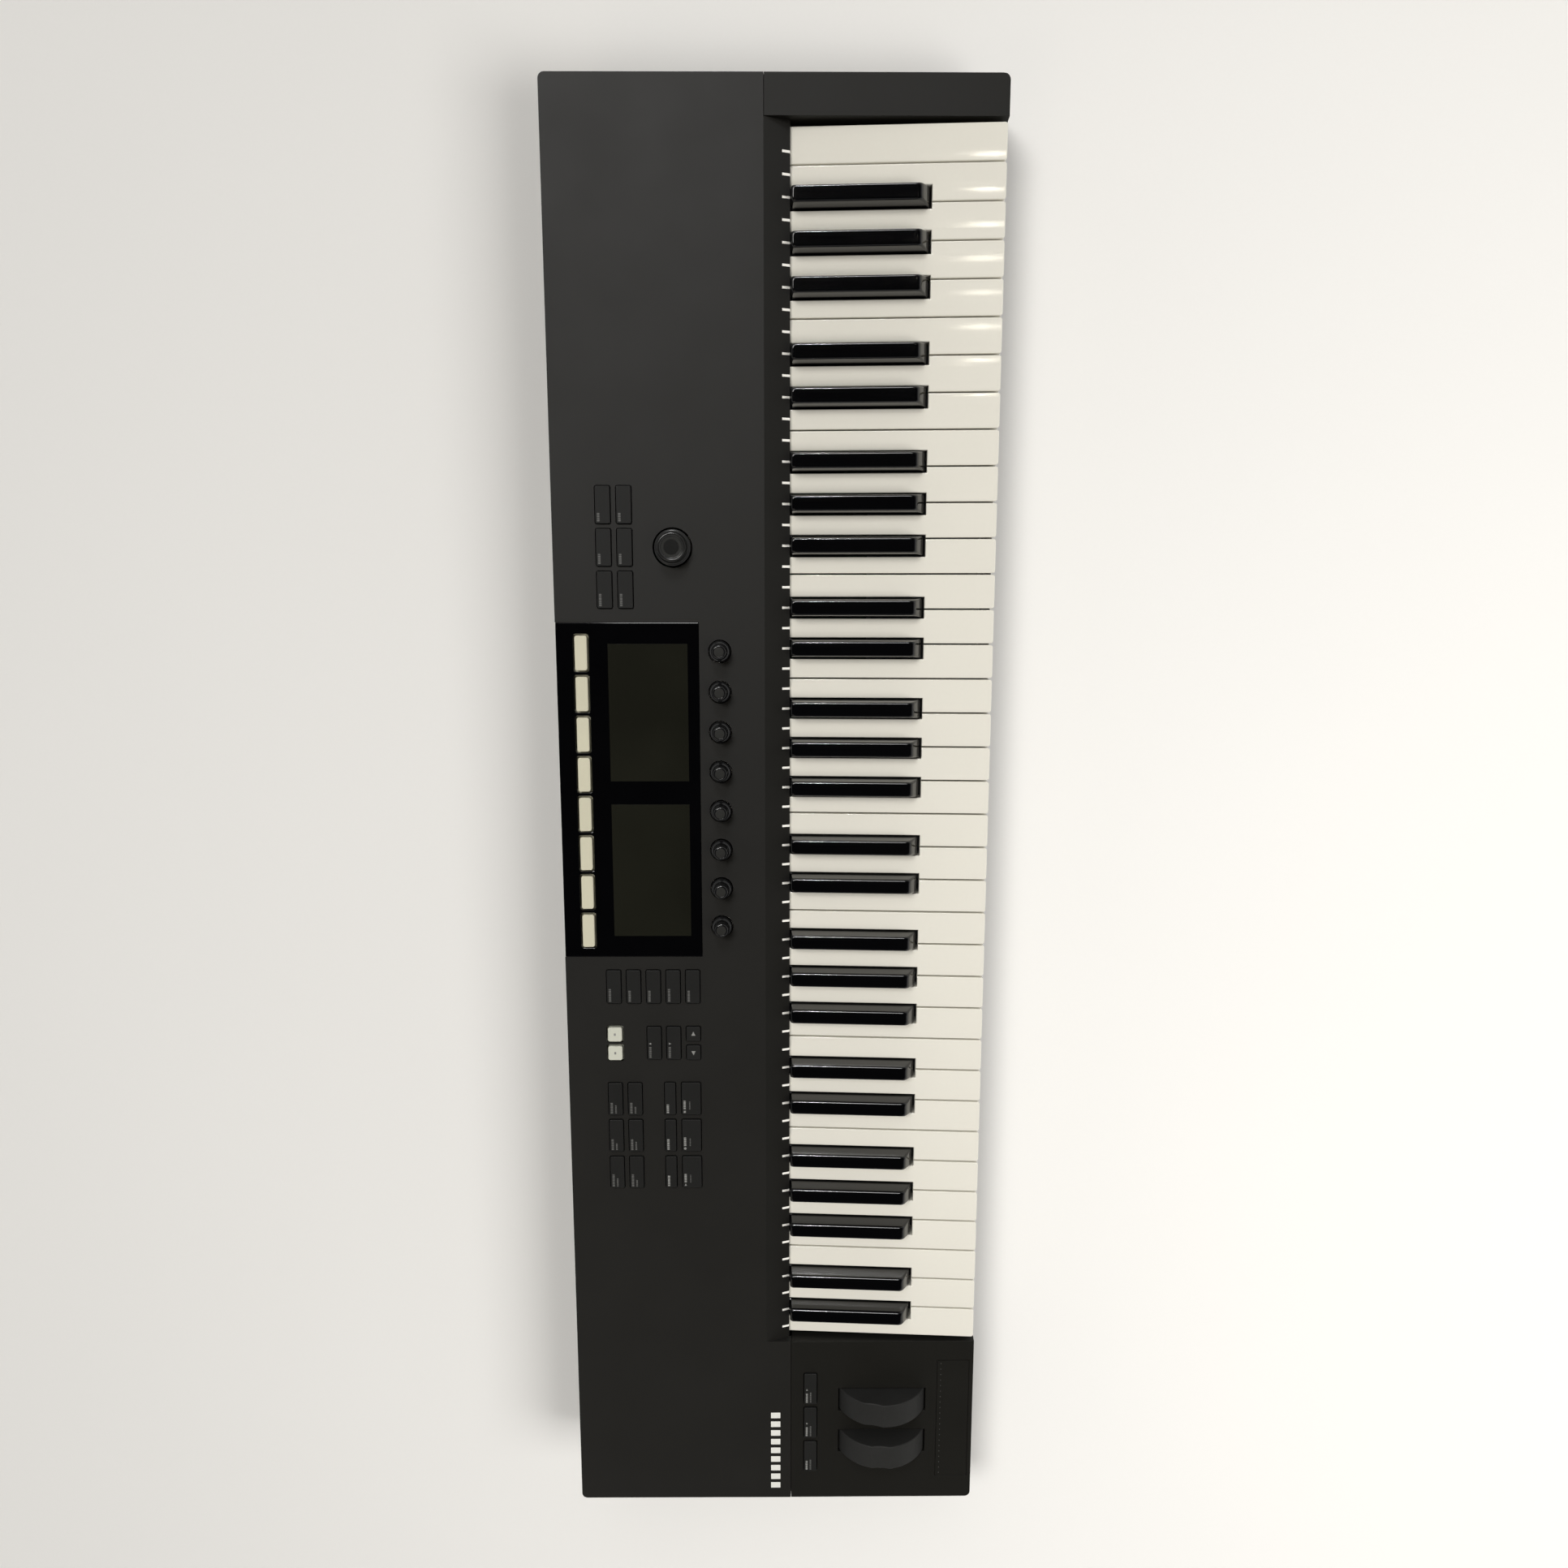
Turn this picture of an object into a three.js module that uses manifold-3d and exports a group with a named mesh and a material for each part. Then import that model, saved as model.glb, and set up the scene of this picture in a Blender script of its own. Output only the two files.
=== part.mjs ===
// 61-key controller keyboard. Millimetres, +Z up, +X towards the treble end, -Y towards the player.
// The origin is at the middle of the footprint, on the surface the instrument stands on.
import * as THREE from "three";
import { mergeVertices } from "three/addons/utils/BufferGeometryUtils.js";
import Module from "manifold-3d";

const wasm = await Module();
wasm.setup();

// ---- Driving dimensions ----
const LENGTH = 1008;
const DEPTH = 297;
const TOTAL_HEIGHT = 84;
const CORNER_R = 4;
const WALL = 3;
const GAP = 0.3;

const FOOT_H = 4;
const FOOT_R = 11;
const FOOT_RECESS = 1;
const TRAY_FLOOR = 2.5;
const TRAY_WALL = 2.5;
const TRAY_TOP = 28;

const CREASE_Y = 7;
const CREASE_Z = 69.5;
const REAR_Z = 78;
const FRONT_Z = 59.5;
const SEAM_Y = -11.2;
const LIP_Y = -9.6;
const LIP_Z = 62.6;
const LIP_UNDER_Z = 60.45;

const KEYS_X = -370;
const OCTAVE = 164.5;
const NATURAL_PITCH = OCTAVE / 7;
const CHROMATIC_PITCH = OCTAVE / 12;
const OCTAVES = 5;
const KEY_GAP = 1;
const KEY_FRONT_Y = -147.6;
const KEY_REAR_Y = 42;
const NATURAL_TOP = 60;
const NATURAL_UNDER = 46;
const NATURAL_LIP_UNDER = 40;
const NATURAL_LIP_DEPTH = 4;
const SHARP_TOP = 71.6;
const SHARP_FRONT_Y = -99;
const SHARP_NOTCH_Y = -100.6;
const SHARP_NOTCH_W = 14.5;
const SHARP_BASE_W = 12.7;
const SHARP_TOP_W = 9.8;
const SHARP_REAR_Y = -10.4;
const TAIL_TOP = 59.6;
const WEB_Y = [43, 60];
const WEB_THICK = 2.4;
const WEB_Z = { cegb: 55.2, dfa: 50.8, sharps: 46.4 };

const LEFT_BLOCK_X = -372.5;
const RIGHT_BLOCK_X = 478.3;

const WHEEL_R = 35;
const WHEEL_Y = -79;
const WHEEL_Z = 47.9;
const WHEEL_W = 18;
const WHEEL_X = { pitch: -455.8, mod: -421.2 };
const WHEEL_NOTCH_R = 12.4;
const WHEEL_NOTCH_DEPTH = 2.8;
const WHEEL_SLOT_Y = -80;
const WHEEL_SLOT = [19, 66];
const AXLE_R = 3;

const KNOB_R = 7.3;
const KNOB_CLEAR = 0.65;
const KNOB_TOP_R = 4.9;
const KNOB_H = 12;
const KNOB_Y = 37.5;
const KNOB_FIRST_X = -50.3;
const KNOB_PITCH = 27.5;
const ENCODER = { x: 211.2, y: 68.4, hole: 13.35, base: 12.2, top: 9.4 };

const CAP_CLEAR = 0.6;
const CAP_RISE = 1.1;
const CAP_R = 0.9;
const MAT_THICK = 1.2;

const GLASS = { x0: -72.4, x1: 161.5, y0: 51.7, y1: 148.3, thick: 1.5 };
const SCREEN = { w: 94.2, d: 54.1, y: 86.3, x: [-10.3, 100.2] };
const STRIP = { x0: -486, x1: -389, y0: -145.2, y1: -121.5, thick: 1.2 };

// ---- Materials ----
const paint = (color, roughness, metalness) =>
  new THREE.MeshStandardMaterial({ color, roughness, metalness });
const COATED_METAL = paint(0x2a2a28, 0.5, 0.3);
const BLACK_ABS = paint(0x1d1d1c, 0.55, 0);
const BUTTON_SILICONE = paint(0x242425, 0.5, 0);
const PALE_SILICONE = paint(0xdad7c8, 0.5, 0);
const IVORY_ABS = paint(0xe9e3d4, 0.22, 0);
const EBONY_ABS = paint(0x0c0c0d, 0.2, 0);
const GLOSS_ACRYLIC = paint(0x07070a, 0.06, 0);
const SCREEN_GLASS = paint(0x15161a, 0.1, 0);
const LIGHT_ACRYLIC = paint(0xf4f4f0, 0.35, 0);
const RUBBER = paint(0x161616, 0.85, 0);
const STEEL = paint(0x8d9096, 0.4, 0.9);
const BOARD = paint(0x17402a, 0.6, 0);

// ---- Solids ----
function solid(geometry) {
  geometry.deleteAttribute("normal");
  geometry.deleteAttribute("uv");
  const merged = mergeVertices(geometry, 1e-4);
  return new wasm.Manifold(
    new wasm.Mesh({
      numProp: 3,
      vertProperties: new Float32Array(merged.attributes.position.array),
      triVerts: new Uint32Array(merged.index.array),
    }),
  );
}

function box(x0, x1, y0, y1, z0, z1) {
  const g = new THREE.BoxGeometry(x1 - x0, y1 - y0, z1 - z0);
  return solid(g.translate((x0 + x1) / 2, (y0 + y1) / 2, (z0 + z1) / 2));
}

// A prism of an outline in (x, y), standing between two heights.
function prismZ(points, z0, z1) {
  const shape = new THREE.Shape(points.map(([x, y]) => new THREE.Vector2(x, y)));
  const g = new THREE.ExtrudeGeometry(shape, { depth: z1 - z0, bevelEnabled: false });
  return solid(g.translate(0, 0, z0));
}

// A prism of a section in (y, z), running between two x values.
function prismX(points, x0, x1) {
  const shape = new THREE.Shape(points.map(([y, z]) => new THREE.Vector2(y, z)));
  const g = new THREE.ExtrudeGeometry(shape, { depth: x1 - x0, bevelEnabled: false });
  const turn = new THREE.Matrix4().makeBasis(
    new THREE.Vector3(0, 1, 0),
    new THREE.Vector3(0, 0, 1),
    new THREE.Vector3(1, 0, 0),
  );
  return solid(g.applyMatrix4(turn).translate(x0, 0, 0));
}

// A turned body on the Z axis through (x, y); the profile is a list of [radius, height].
function turned(profile, x, y, segments = 32) {
  const points = profile.map(([r, z]) => new THREE.Vector2(r, z));
  const g = new THREE.LatheGeometry(points, segments);
  return solid(g.rotateX(Math.PI / 2).translate(x, y, 0));
}

// A cylinder along X.
function rodX(x0, x1, y, z, r, segments = 24) {
  const g = new THREE.CylinderGeometry(r, r, x1 - x0, segments);
  return solid(g.rotateZ(Math.PI / 2).translate((x0 + x1) / 2, y, z));
}

// A cylinder along Y.
function rodY(x, y0, y1, z, r, segments = 24) {
  const g = new THREE.CylinderGeometry(r, r, y1 - y0, segments);
  return solid(g.translate(x, (y0 + y1) / 2, z));
}

function disc(x, y, z0, z1, r, segments = 32) {
  return turned([[0, z0], [r, z0], [r, z1], [0, z1]], x, y, segments);
}

const join = (solids) => wasm.Manifold.union(solids);
const cut = (body, tools) => body.subtract(join(tools));

function roundedRectangle(halfX, halfY, r, steps = 5) {
  const points = [];
  const corners = [[1, -1, -90], [1, 1, 0], [-1, 1, 90], [-1, -1, 180]];
  for (const [sx, sy, start] of corners) {
    for (let i = 0; i <= steps; i++) {
      const a = ((start + (90 * i) / steps) * Math.PI) / 180;
      const cx = sx * (halfX - r);
      const cy = sy * (halfY - r);
      points.push([cx + r * Math.cos(a), cy + r * Math.sin(a)]);
    }
  }
  return points;
}

// ---- The two sloping top planes ----
function plane(y0, z0, y1, z1) {
  const rise = (z1 - z0) / (y1 - y0);
  const angle = Math.atan(rise);
  const origin = z0 - y0 * rise;
  const height = (y) => origin + y * rise;
  // Puts a solid built on a level plane at height 0 on to the slope; y is measured on plan.
  const lay = (body) => body.rotate([(angle * 180) / Math.PI, 0, 0]).translate([0, 0, origin]);
  const along = (y) => y / Math.cos(angle);
  return { height, lay, along, angle };
}

const PANEL = plane(CREASE_Y, CREASE_Z, DEPTH / 2, REAR_Z);
const BLOCK = plane(-DEPTH / 2, FRONT_Z, CREASE_Y, CREASE_Z);

const ENCODER_V = PANEL.along(ENCODER.y);

// A level box in a plane's own frame, from its centre on plan.
function slab(on, x, y, w, d, n0, n1) {
  const v = on.along(y);
  return box(x - w / 2, x + w / 2, v - d / 2, v + d / 2, n0, n1);
}

// The same with rounded upright corners.
function tablet(on, x, y, w, d, n0, n1, r) {
  return prismZ(roundedRectangle(w / 2, d / 2, r, 2), n0, n1).translate([x, on.along(y), 0]);
}

const HALF_L = LENGTH / 2;
const HALF_D = DEPTH / 2;
const FOOTPRINT = prismZ(roundedRectangle(HALF_L, HALF_D, CORNER_R), 0, TOTAL_HEIGHT + 20);

// ---- Button groups: centre x, centre y, width, depth ----
const CAP_W = 24.4;
const CAP_D = 9.9;
const grid = (xs, ys, w, d) => xs.flatMap((x) => ys.map((y) => [x, y, w, d]));

const BUTTONS = {
  browse_buttons: { on: PANEL, caps: grid([183.4, 211.3, 239.1], [100.3, 114.3], CAP_W, CAP_D) },
  edit_buttons: { on: PANEL, caps: grid([-235.8, -207.3, -179.1], [101.2, 115.3], CAP_W, CAP_D) },
  loop_buttons: { on: PANEL, caps: grid([-235.6, -207.2, -178.9], [76], CAP_W, 7.7) },
  play_button: { on: PANEL, caps: [[-235.6, 60.9, CAP_W, 13.7]] },
  record_button: { on: PANEL, caps: [[-207.2, 60.9, CAP_W, 13.7]] },
  stop_button: { on: PANEL, caps: [[-178.9, 60.9, CAP_W, 13.7]] },
  mute_solo_buttons: { on: PANEL, caps: grid([-144.1, -130.1], [114.7], 11.7, 11.1) },
  preset_buttons: {
    on: PANEL,
    caps: [
      ...grid([-136.7], [72.8, 86.7], CAP_W, CAP_D),
      ...grid([-143.8, -129.8], [58.7], 10.7, CAP_D),
    ],
  },
  mode_buttons: {
    on: PANEL,
    caps: grid([-94.65], [58.7, 72.6, 86.6, 100.6, 114.6], CAP_W, CAP_D),
  },
  octave_buttons: { on: BLOCK, caps: grid([-468.3, -439.8, -411.5], [-26], 25, 9.4) },
  soft_buttons: {
    on: PANEL,
    caps: grid([0, 1, 2, 3, 4, 5, 6, 7].map((i) => -53.4 + 27.8 * i), [131.4], 24.6, 9.4),
  },
};

function buttonMat({ on, caps }) {
  const under = -(WALL + GAP);
  const edges = { x0: 1e9, x1: -1e9, y0: 1e9, y1: -1e9 };
  for (const [x, y, w, d] of caps) {
    edges.x0 = Math.min(edges.x0, x - w / 2);
    edges.x1 = Math.max(edges.x1, x + w / 2);
    edges.y0 = Math.min(edges.y0, y - d / 2);
    edges.y1 = Math.max(edges.y1, y + d / 2);
  }
  const web = slab(
    on,
    (edges.x0 + edges.x1) / 2,
    (edges.y0 + edges.y1) / 2,
    edges.x1 - edges.x0 + 1.2,
    edges.y1 - edges.y0 + 1.2,
    under - MAT_THICK,
    under,
  );
  const tops = caps.map(([x, y, w, d]) => tablet(on, x, y, w, d, under - 0.2, CAP_RISE, CAP_R));
  return on.lay(join([web, ...tops]));
}

function buttonHoles(on, names, n0 = -8, n1 = 8) {
  return names.flatMap((name) =>
    BUTTONS[name].caps.map(([x, y, w, d]) =>
      tablet(on, x, y, w + 2 * CAP_CLEAR, d + 2 * CAP_CLEAR, n0, n1, CAP_R + CAP_CLEAR),
    ),
  );
}

const ON_PANEL = Object.keys(BUTTONS).filter((name) => BUTTONS[name].on === PANEL);

// ---- Case ----
const POSTS = grid([-230, 0, 230], [76, 128], 0, 0);
const FEET = { left: -440, right: 440, front: -118, rear: 118 };

function bottomCase() {
  const outer = prismZ(roundedRectangle(HALF_L, HALF_D, CORNER_R), FOOT_H, TRAY_TOP);
  const inner = prismZ(
    roundedRectangle(HALF_L - TRAY_WALL, HALF_D - TRAY_WALL, CORNER_R - TRAY_WALL),
    FOOT_H + TRAY_FLOOR,
    TRAY_TOP + 5,
  );
  const posts = POSTS.map(([x, y]) => disc(x, y, FOOT_H + 1, 49.7, 4.5, 10));
  const recesses = [];
  for (const x of [FEET.left, FEET.right]) {
    for (const y of [FEET.front, FEET.rear]) {
      recesses.push(disc(x, y, FOOT_H - 1, FOOT_H + FOOT_RECESS, FOOT_R + GAP, 24));
    }
  }
  return cut(join([outer.subtract(inner), ...posts]), recesses);
}

// The wall section of a shell that ends GAP above the tray.
const SKIRT_Z = TRAY_TOP + GAP;

function topPanel() {
  const rear = [
    [HALF_D, REAR_Z],
    [HALF_D, SKIRT_Z],
    [HALF_D - WALL, SKIRT_Z],
    [HALF_D - WALL, PANEL.height(HALF_D - WALL) - WALL],
  ];
  const middle = prismX(
    [
      [LIP_Y, LIP_Z],
      [CREASE_Y, CREASE_Z],
      ...rear,
      [CREASE_Y + 0.6, CREASE_Z - WALL],
      [LIP_Y, LIP_UNDER_Z],
    ],
    LEFT_BLOCK_X,
    RIGHT_BLOCK_X,
  );
  const end = (y, x0, x1) =>
    prismX([[y, PANEL.height(y)], ...rear, [y, PANEL.height(y) - WALL]], x0, x1);
  const side = (y, x0, x1) =>
    prismX([[y, SKIRT_Z], [y, PANEL.height(y)], [HALF_D, REAR_Z], [HALF_D, SKIRT_Z]], x0, x1);
  const slopeEnd = prismX(
    [
      [SEAM_Y, LIP_UNDER_Z + 1],
      [SEAM_Y, PANEL.height(SEAM_Y)],
      [CREASE_Y + 3, PANEL.height(CREASE_Y + 3)],
      [CREASE_Y + 3, CREASE_Z - 2],
    ],
    LEFT_BLOCK_X - WALL,
    LEFT_BLOCK_X,
  );
  const shell = join([
    middle,
    end(SEAM_Y, -HALF_L, LEFT_BLOCK_X),
    end(CREASE_Y, RIGHT_BLOCK_X, HALF_L),
    side(SEAM_Y, -HALF_L, -HALF_L + WALL),
    side(CREASE_Y, HALF_L - WALL, HALF_L),
    slopeEnd,
  ]).intersect(FOOTPRINT);

  const lugs = [-1, 1].map((s) => {
    const x = ENCODER.x + 13.9 * s;
    const bore = rodX(x - 2, x + 2, ENCODER_V, -11, 1.5, 12);
    return slab(PANEL, x, ENCODER.y, 2.2, 6, -14, -WALL + 0.5).subtract(bore);
  });
  const tools = [
    ...buttonHoles(PANEL, ON_PANEL),
    box(
      GLASS.x0 - GAP,
      GLASS.x1 + GAP,
      PANEL.along(GLASS.y0) - GAP,
      PANEL.along(HALF_D) + 4,
      -GLASS.thick - GAP,
      4,
    ),
    ...SCREEN.x.map((x) => slab(PANEL, x, SCREEN.y, SCREEN.w + 0.6, SCREEN.d + 0.6, -8, 4)),
    disc(ENCODER.x, PANEL.along(ENCODER.y), -8, 8, ENCODER.hole),
  ];
  for (let i = 0; i < 8; i++) {
    const x = KNOB_FIRST_X + i * KNOB_PITCH;
    tools.push(disc(x, PANEL.along(KNOB_Y), -8, 8, KNOB_R + KNOB_CLEAR, 28));
  }
  const slots = [];
  for (let i = 0; i < 12 * OCTAVES + 1; i++) {
    const x = KEYS_X + (i + 0.5) * CHROMATIC_PITCH;
    slots.push(box(x - 1, x + 1, LIP_Y - 1, -4.3, 55, 75));
  }
  const sockets = SOCKETS.map(([x, r]) => rodY(x, HALF_D - WALL - 1, HALF_D + 1, SOCKET_Z, r + 0.4, 18));
  const drilled = cut(shell, [PANEL.lay(join(tools)), ...slots, ...sockets]);
  return join([drilled, ...lugs.map(PANEL.lay)]);
}

// Rear sockets: centre x, body radius, recess radius.
const SOCKET_Z = 48;
const SOCKETS = [
  [-455, 6.5, 2.8],
  [-415, 6.2, 4.2],
  [-380, 6.2, 3.2],
  [-355, 6.2, 3.2],
  [-318, 9.2, 7.4],
  [-288, 9.2, 7.4],
];

function rearJackBoard() {
  const board = box(-475, -265, 112, 138, 38, 39.6);
  const bodies = SOCKETS.flatMap(([x, r]) => [
    box(x - r, x + r, 122, 144.5, 39.2, SOCKET_Z + r),
    rodY(x, 144, HALF_D - 0.2, SOCKET_Z, r, 18),
  ]);
  const recesses = SOCKETS.map(([x, , r]) => rodY(x, HALF_D - 3.7, HALF_D + 1, SOCKET_Z, r, 14));
  const post = box(-372, -364, 114, 120, FOOT_H + TRAY_FLOOR + GAP, 38.5);
  return cut(join([board, post, ...bodies]), recesses);
}

function displayGlass() {
  const plate = box(
    GLASS.x0,
    GLASS.x1,
    PANEL.along(GLASS.y0),
    PANEL.along(GLASS.y1),
    -GLASS.thick,
    0,
  );
  return PANEL.lay(cut(plate, buttonHoles(PANEL, ["soft_buttons"])));
}

function screen(x) {
  return PANEL.lay(slab(PANEL, x, SCREEN.y, SCREEN.w, SCREEN.d, -6, -GLASS.thick - GAP));
}

function lightGuide() {
  const lipRise = (CREASE_Z - LIP_Z) / (CREASE_Y - LIP_Y);
  const outer = (y) => LIP_Z + (y - LIP_Y) * lipRise - 0.05;
  const bar = prismX([[-6, 61.4], [3, 64.5], [3, 63.2], [-6, 60.5]], KEYS_X + 3, KEYS_X + 833);
  const teeth = [];
  for (let i = 0; i < 12 * OCTAVES + 1; i++) {
    const x = KEYS_X + (i + 0.5) * CHROMATIC_PITCH;
    const section = [[-9.5, outer(-9.5)], [-4.6, outer(-4.6)], [-4.6, 61.6], [-6, 61], [-9.5, 61]];
    teeth.push(prismX(section, x - 0.75, x + 0.75));
  }
  return join([bar, ...teeth]);
}

// An end block: a sloping top with walls on three sides, open below and to the rear.
function endBlock(x0, x1, wallLeft, wallRight, rearY) {
  const front = -HALF_D;
  const outer = prismX(
    [[front, SKIRT_Z], [front, FRONT_Z], [rearY, BLOCK.height(rearY)], [rearY, SKIRT_Z]],
    x0,
    x1,
  );
  const inside = front + WALL;
  const inner = prismX(
    [
      [inside, SKIRT_Z - 1],
      [inside, BLOCK.height(inside) - WALL],
      [rearY + 1, BLOCK.height(rearY + 1) - WALL],
      [rearY + 1, SKIRT_Z - 1],
    ],
    x0 + wallLeft,
    x1 - wallRight,
  );
  return outer.subtract(inner).intersect(FOOTPRINT);
}

function wheelPanel() {
  const block = endBlock(-HALF_L, LEFT_BLOCK_X - GAP, WALL, WALL, SEAM_Y - GAP);
  const tools = [
    ...buttonHoles(BLOCK, ["octave_buttons"]),
    slab(
      BLOCK,
      (STRIP.x0 + STRIP.x1) / 2,
      (STRIP.y0 + STRIP.y1) / 2,
      STRIP.x1 - STRIP.x0 + 2 * GAP,
      STRIP.y1 - STRIP.y0 + 2 * GAP,
      -STRIP.thick - GAP,
      4,
    ),
    ...Object.values(WHEEL_X).map((x) => slab(BLOCK, x, WHEEL_SLOT_Y, ...WHEEL_SLOT, -8, 8)),
  ];
  return block.subtract(BLOCK.lay(join(tools)));
}

function touchStrip() {
  return BLOCK.lay(
    slab(
      BLOCK,
      (STRIP.x0 + STRIP.x1) / 2,
      (STRIP.y0 + STRIP.y1) / 2,
      STRIP.x1 - STRIP.x0,
      STRIP.y1 - STRIP.y0,
      -STRIP.thick,
      0,
    ),
  );
}

// ---- Wheels ----
function wheel(x, notchDegrees) {
  const tread = rodX(x - WHEEL_W / 2, x + WHEEL_W / 2, WHEEL_Y, WHEEL_Z, WHEEL_R, 64);
  const axle = rodX(x - WHEEL_W / 2 - 4.2, x + WHEEL_W / 2 + 4.2, WHEEL_Y, WHEEL_Z, AXLE_R);
  const a = (notchDegrees * Math.PI) / 180;
  const reach = WHEEL_R - WHEEL_NOTCH_DEPTH + WHEEL_NOTCH_R;
  const notch = rodX(
    x - WHEEL_W,
    x + WHEEL_W,
    WHEEL_Y + reach * Math.sin(a),
    WHEEL_Z + reach * Math.cos(a),
    WHEEL_NOTCH_R,
    32,
  );
  return join([tread, axle]).subtract(notch);
}

function wheelBracket() {
  const floor = FOOT_H + TRAY_FLOOR + GAP;
  const half = WHEEL_W / 2 + 0.8;
  const plates = Object.values(WHEEL_X).flatMap((x) => [
    box(x - half - 3, x - half, WHEEL_Y - 10, WHEEL_Y + 10, floor, WHEEL_Z + 8),
    box(x + half, x + half + 3, WHEEL_Y - 10, WHEEL_Y + 10, floor, WHEEL_Z + 8),
  ]);
  const base = box(
    WHEEL_X.pitch - half - 6,
    WHEEL_X.mod + half + 6,
    WHEEL_Y - 25,
    WHEEL_Y + 25,
    floor,
    floor + 1.6,
  );
  const bores = rodX(-480, -400, WHEEL_Y, WHEEL_Z, AXLE_R + 0.1);
  return join([base, ...plates]).subtract(bores);
}

// ---- Knobs ----
function knob(i) {
  const x = KNOB_FIRST_X + i * KNOB_PITCH;
  const profile = [
    [0, -9],
    [3.2, -9],
    [3.2, -1],
    [KNOB_R, -1],
    [KNOB_R - 0.5, KNOB_H - 2.6],
    [KNOB_TOP_R, KNOB_H],
    [0, KNOB_H],
  ];
  return PANEL.lay(turned(profile, x, PANEL.along(KNOB_Y), 28));
}

// The encoder's highest edge sets the instrument's overall height.
const ENCODER_LIFT = (ENCODER_V + ENCODER.top) * Math.sin(PANEL.angle);
const ENCODER_H = (TOTAL_HEIGHT - PANEL.height(0) - ENCODER_LIFT) / Math.cos(PANEL.angle);

function encoderCap() {
  const profile = [
    [0, -4],
    [7, -4],
    [7, -1.2],
    [ENCODER.base, -1.2],
    [ENCODER.base, 2],
    [ENCODER.top + 0.8, ENCODER_H - 0.9],
    [ENCODER.top, ENCODER_H],
    [ENCODER.top - 1.6, ENCODER_H],
    [0, ENCODER_H - 1.2],
  ];
  return PANEL.lay(turned(profile, ENCODER.x, ENCODER_V, 40));
}

function encoderStem() {
  const profile = [[0, -16], [2.6, -16], [2.6, -5.5], [5.5, -5.5], [5.5, -4.2], [0, -4.2]];
  return PANEL.lay(turned(profile, ENCODER.x, ENCODER_V, 24));
}

function encoderCarrier() {
  const sleeve = disc(ENCODER.x, ENCODER_V, -14, -8, 5.2, 24);
  const pivots = box(ENCODER.x - 0.9, ENCODER.x + 0.9, ENCODER_V - 8.3, ENCODER_V + 8.3, -12, -10);
  const bore = disc(ENCODER.x, ENCODER_V, -15, -7, 2.7, 24);
  return PANEL.lay(join([sleeve, pivots]).subtract(bore));
}

function encoderGimbal() {
  const ring = disc(ENCODER.x, ENCODER_V, -13, -9, 12, 32);
  const hole = disc(ENCODER.x, ENCODER_V, -14, -8, 7.2, 32);
  const notch = box(ENCODER.x - 1.6, ENCODER.x + 1.6, ENCODER_V - 9, ENCODER_V + 9, -14, -8);
  const pins = box(ENCODER.x - 14.4, ENCODER.x + 14.4, ENCODER_V - 0.9, ENCODER_V + 0.9, -12, -10);
  return PANEL.lay(join([ring, pins]).subtract(join([hole, notch])));
}

// ---- Keys ----
const NATURALS = { C: 0, D: 1, E: 2, F: 3, G: 4, A: 5, B: 6 };
const SHARP_STEPS = [1, 3, 6, 8, 10];
const SHARP_SIDES = { C: "R", D: "LR", E: "L", F: "R", G: "LR", A: "LR", B: "L" };
const STEP_OF = { C: 0, D: 2, E: 4, F: 5, G: 7, A: 9, B: 11 };

function natural(name, octaveX, alone = false) {
  const half = KEY_GAP / 2;
  const left = octaveX + NATURALS[name] * NATURAL_PITCH + half;
  const right = octaveX + (NATURALS[name] + 1) * NATURAL_PITCH - half;
  const step = STEP_OF[name];
  const sides = alone ? "" : SHARP_SIDES[name];
  const overlap = SHARP_NOTCH_W / 2;
  const sharpAt = (s) => octaveX + (s + 0.5) * CHROMATIC_PITCH;
  const neckLeft = sides.includes("L") ? sharpAt(step - 1) + overlap : left;
  const neckRight = sides.includes("R") ? sharpAt(step + 1) - overlap : right;
  const c = 1.2;
  const outline = [
    [left + c, KEY_FRONT_Y],
    [right - c, KEY_FRONT_Y],
    [right, KEY_FRONT_Y + c],
    [right, SHARP_NOTCH_Y],
    [neckRight, SHARP_NOTCH_Y],
    [neckRight, KEY_REAR_Y],
    [neckLeft, KEY_REAR_Y],
    [neckLeft, SHARP_NOTCH_Y],
    [left, SHARP_NOTCH_Y],
    [left, KEY_FRONT_Y + c],
  ].filter(([x, y], i, all) => {
    const [px, py] = all[(i + all.length - 1) % all.length];
    return Math.hypot(x - px, y - py) > 1e-6;
  });
  const body = prismZ(outline, NATURAL_UNDER, NATURAL_TOP);
  const lip = prismZ(
    [
      [left + c, KEY_FRONT_Y],
      [right - c, KEY_FRONT_Y],
      [right, KEY_FRONT_Y + c],
      [right, KEY_FRONT_Y + NATURAL_LIP_DEPTH],
      [left, KEY_FRONT_Y + NATURAL_LIP_DEPTH],
      [left, KEY_FRONT_Y + c],
    ],
    NATURAL_LIP_UNDER,
    NATURAL_UNDER + 1,
  );
  return { body: join([body, lip]), x0: neckLeft, x1: neckRight };
}

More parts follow.
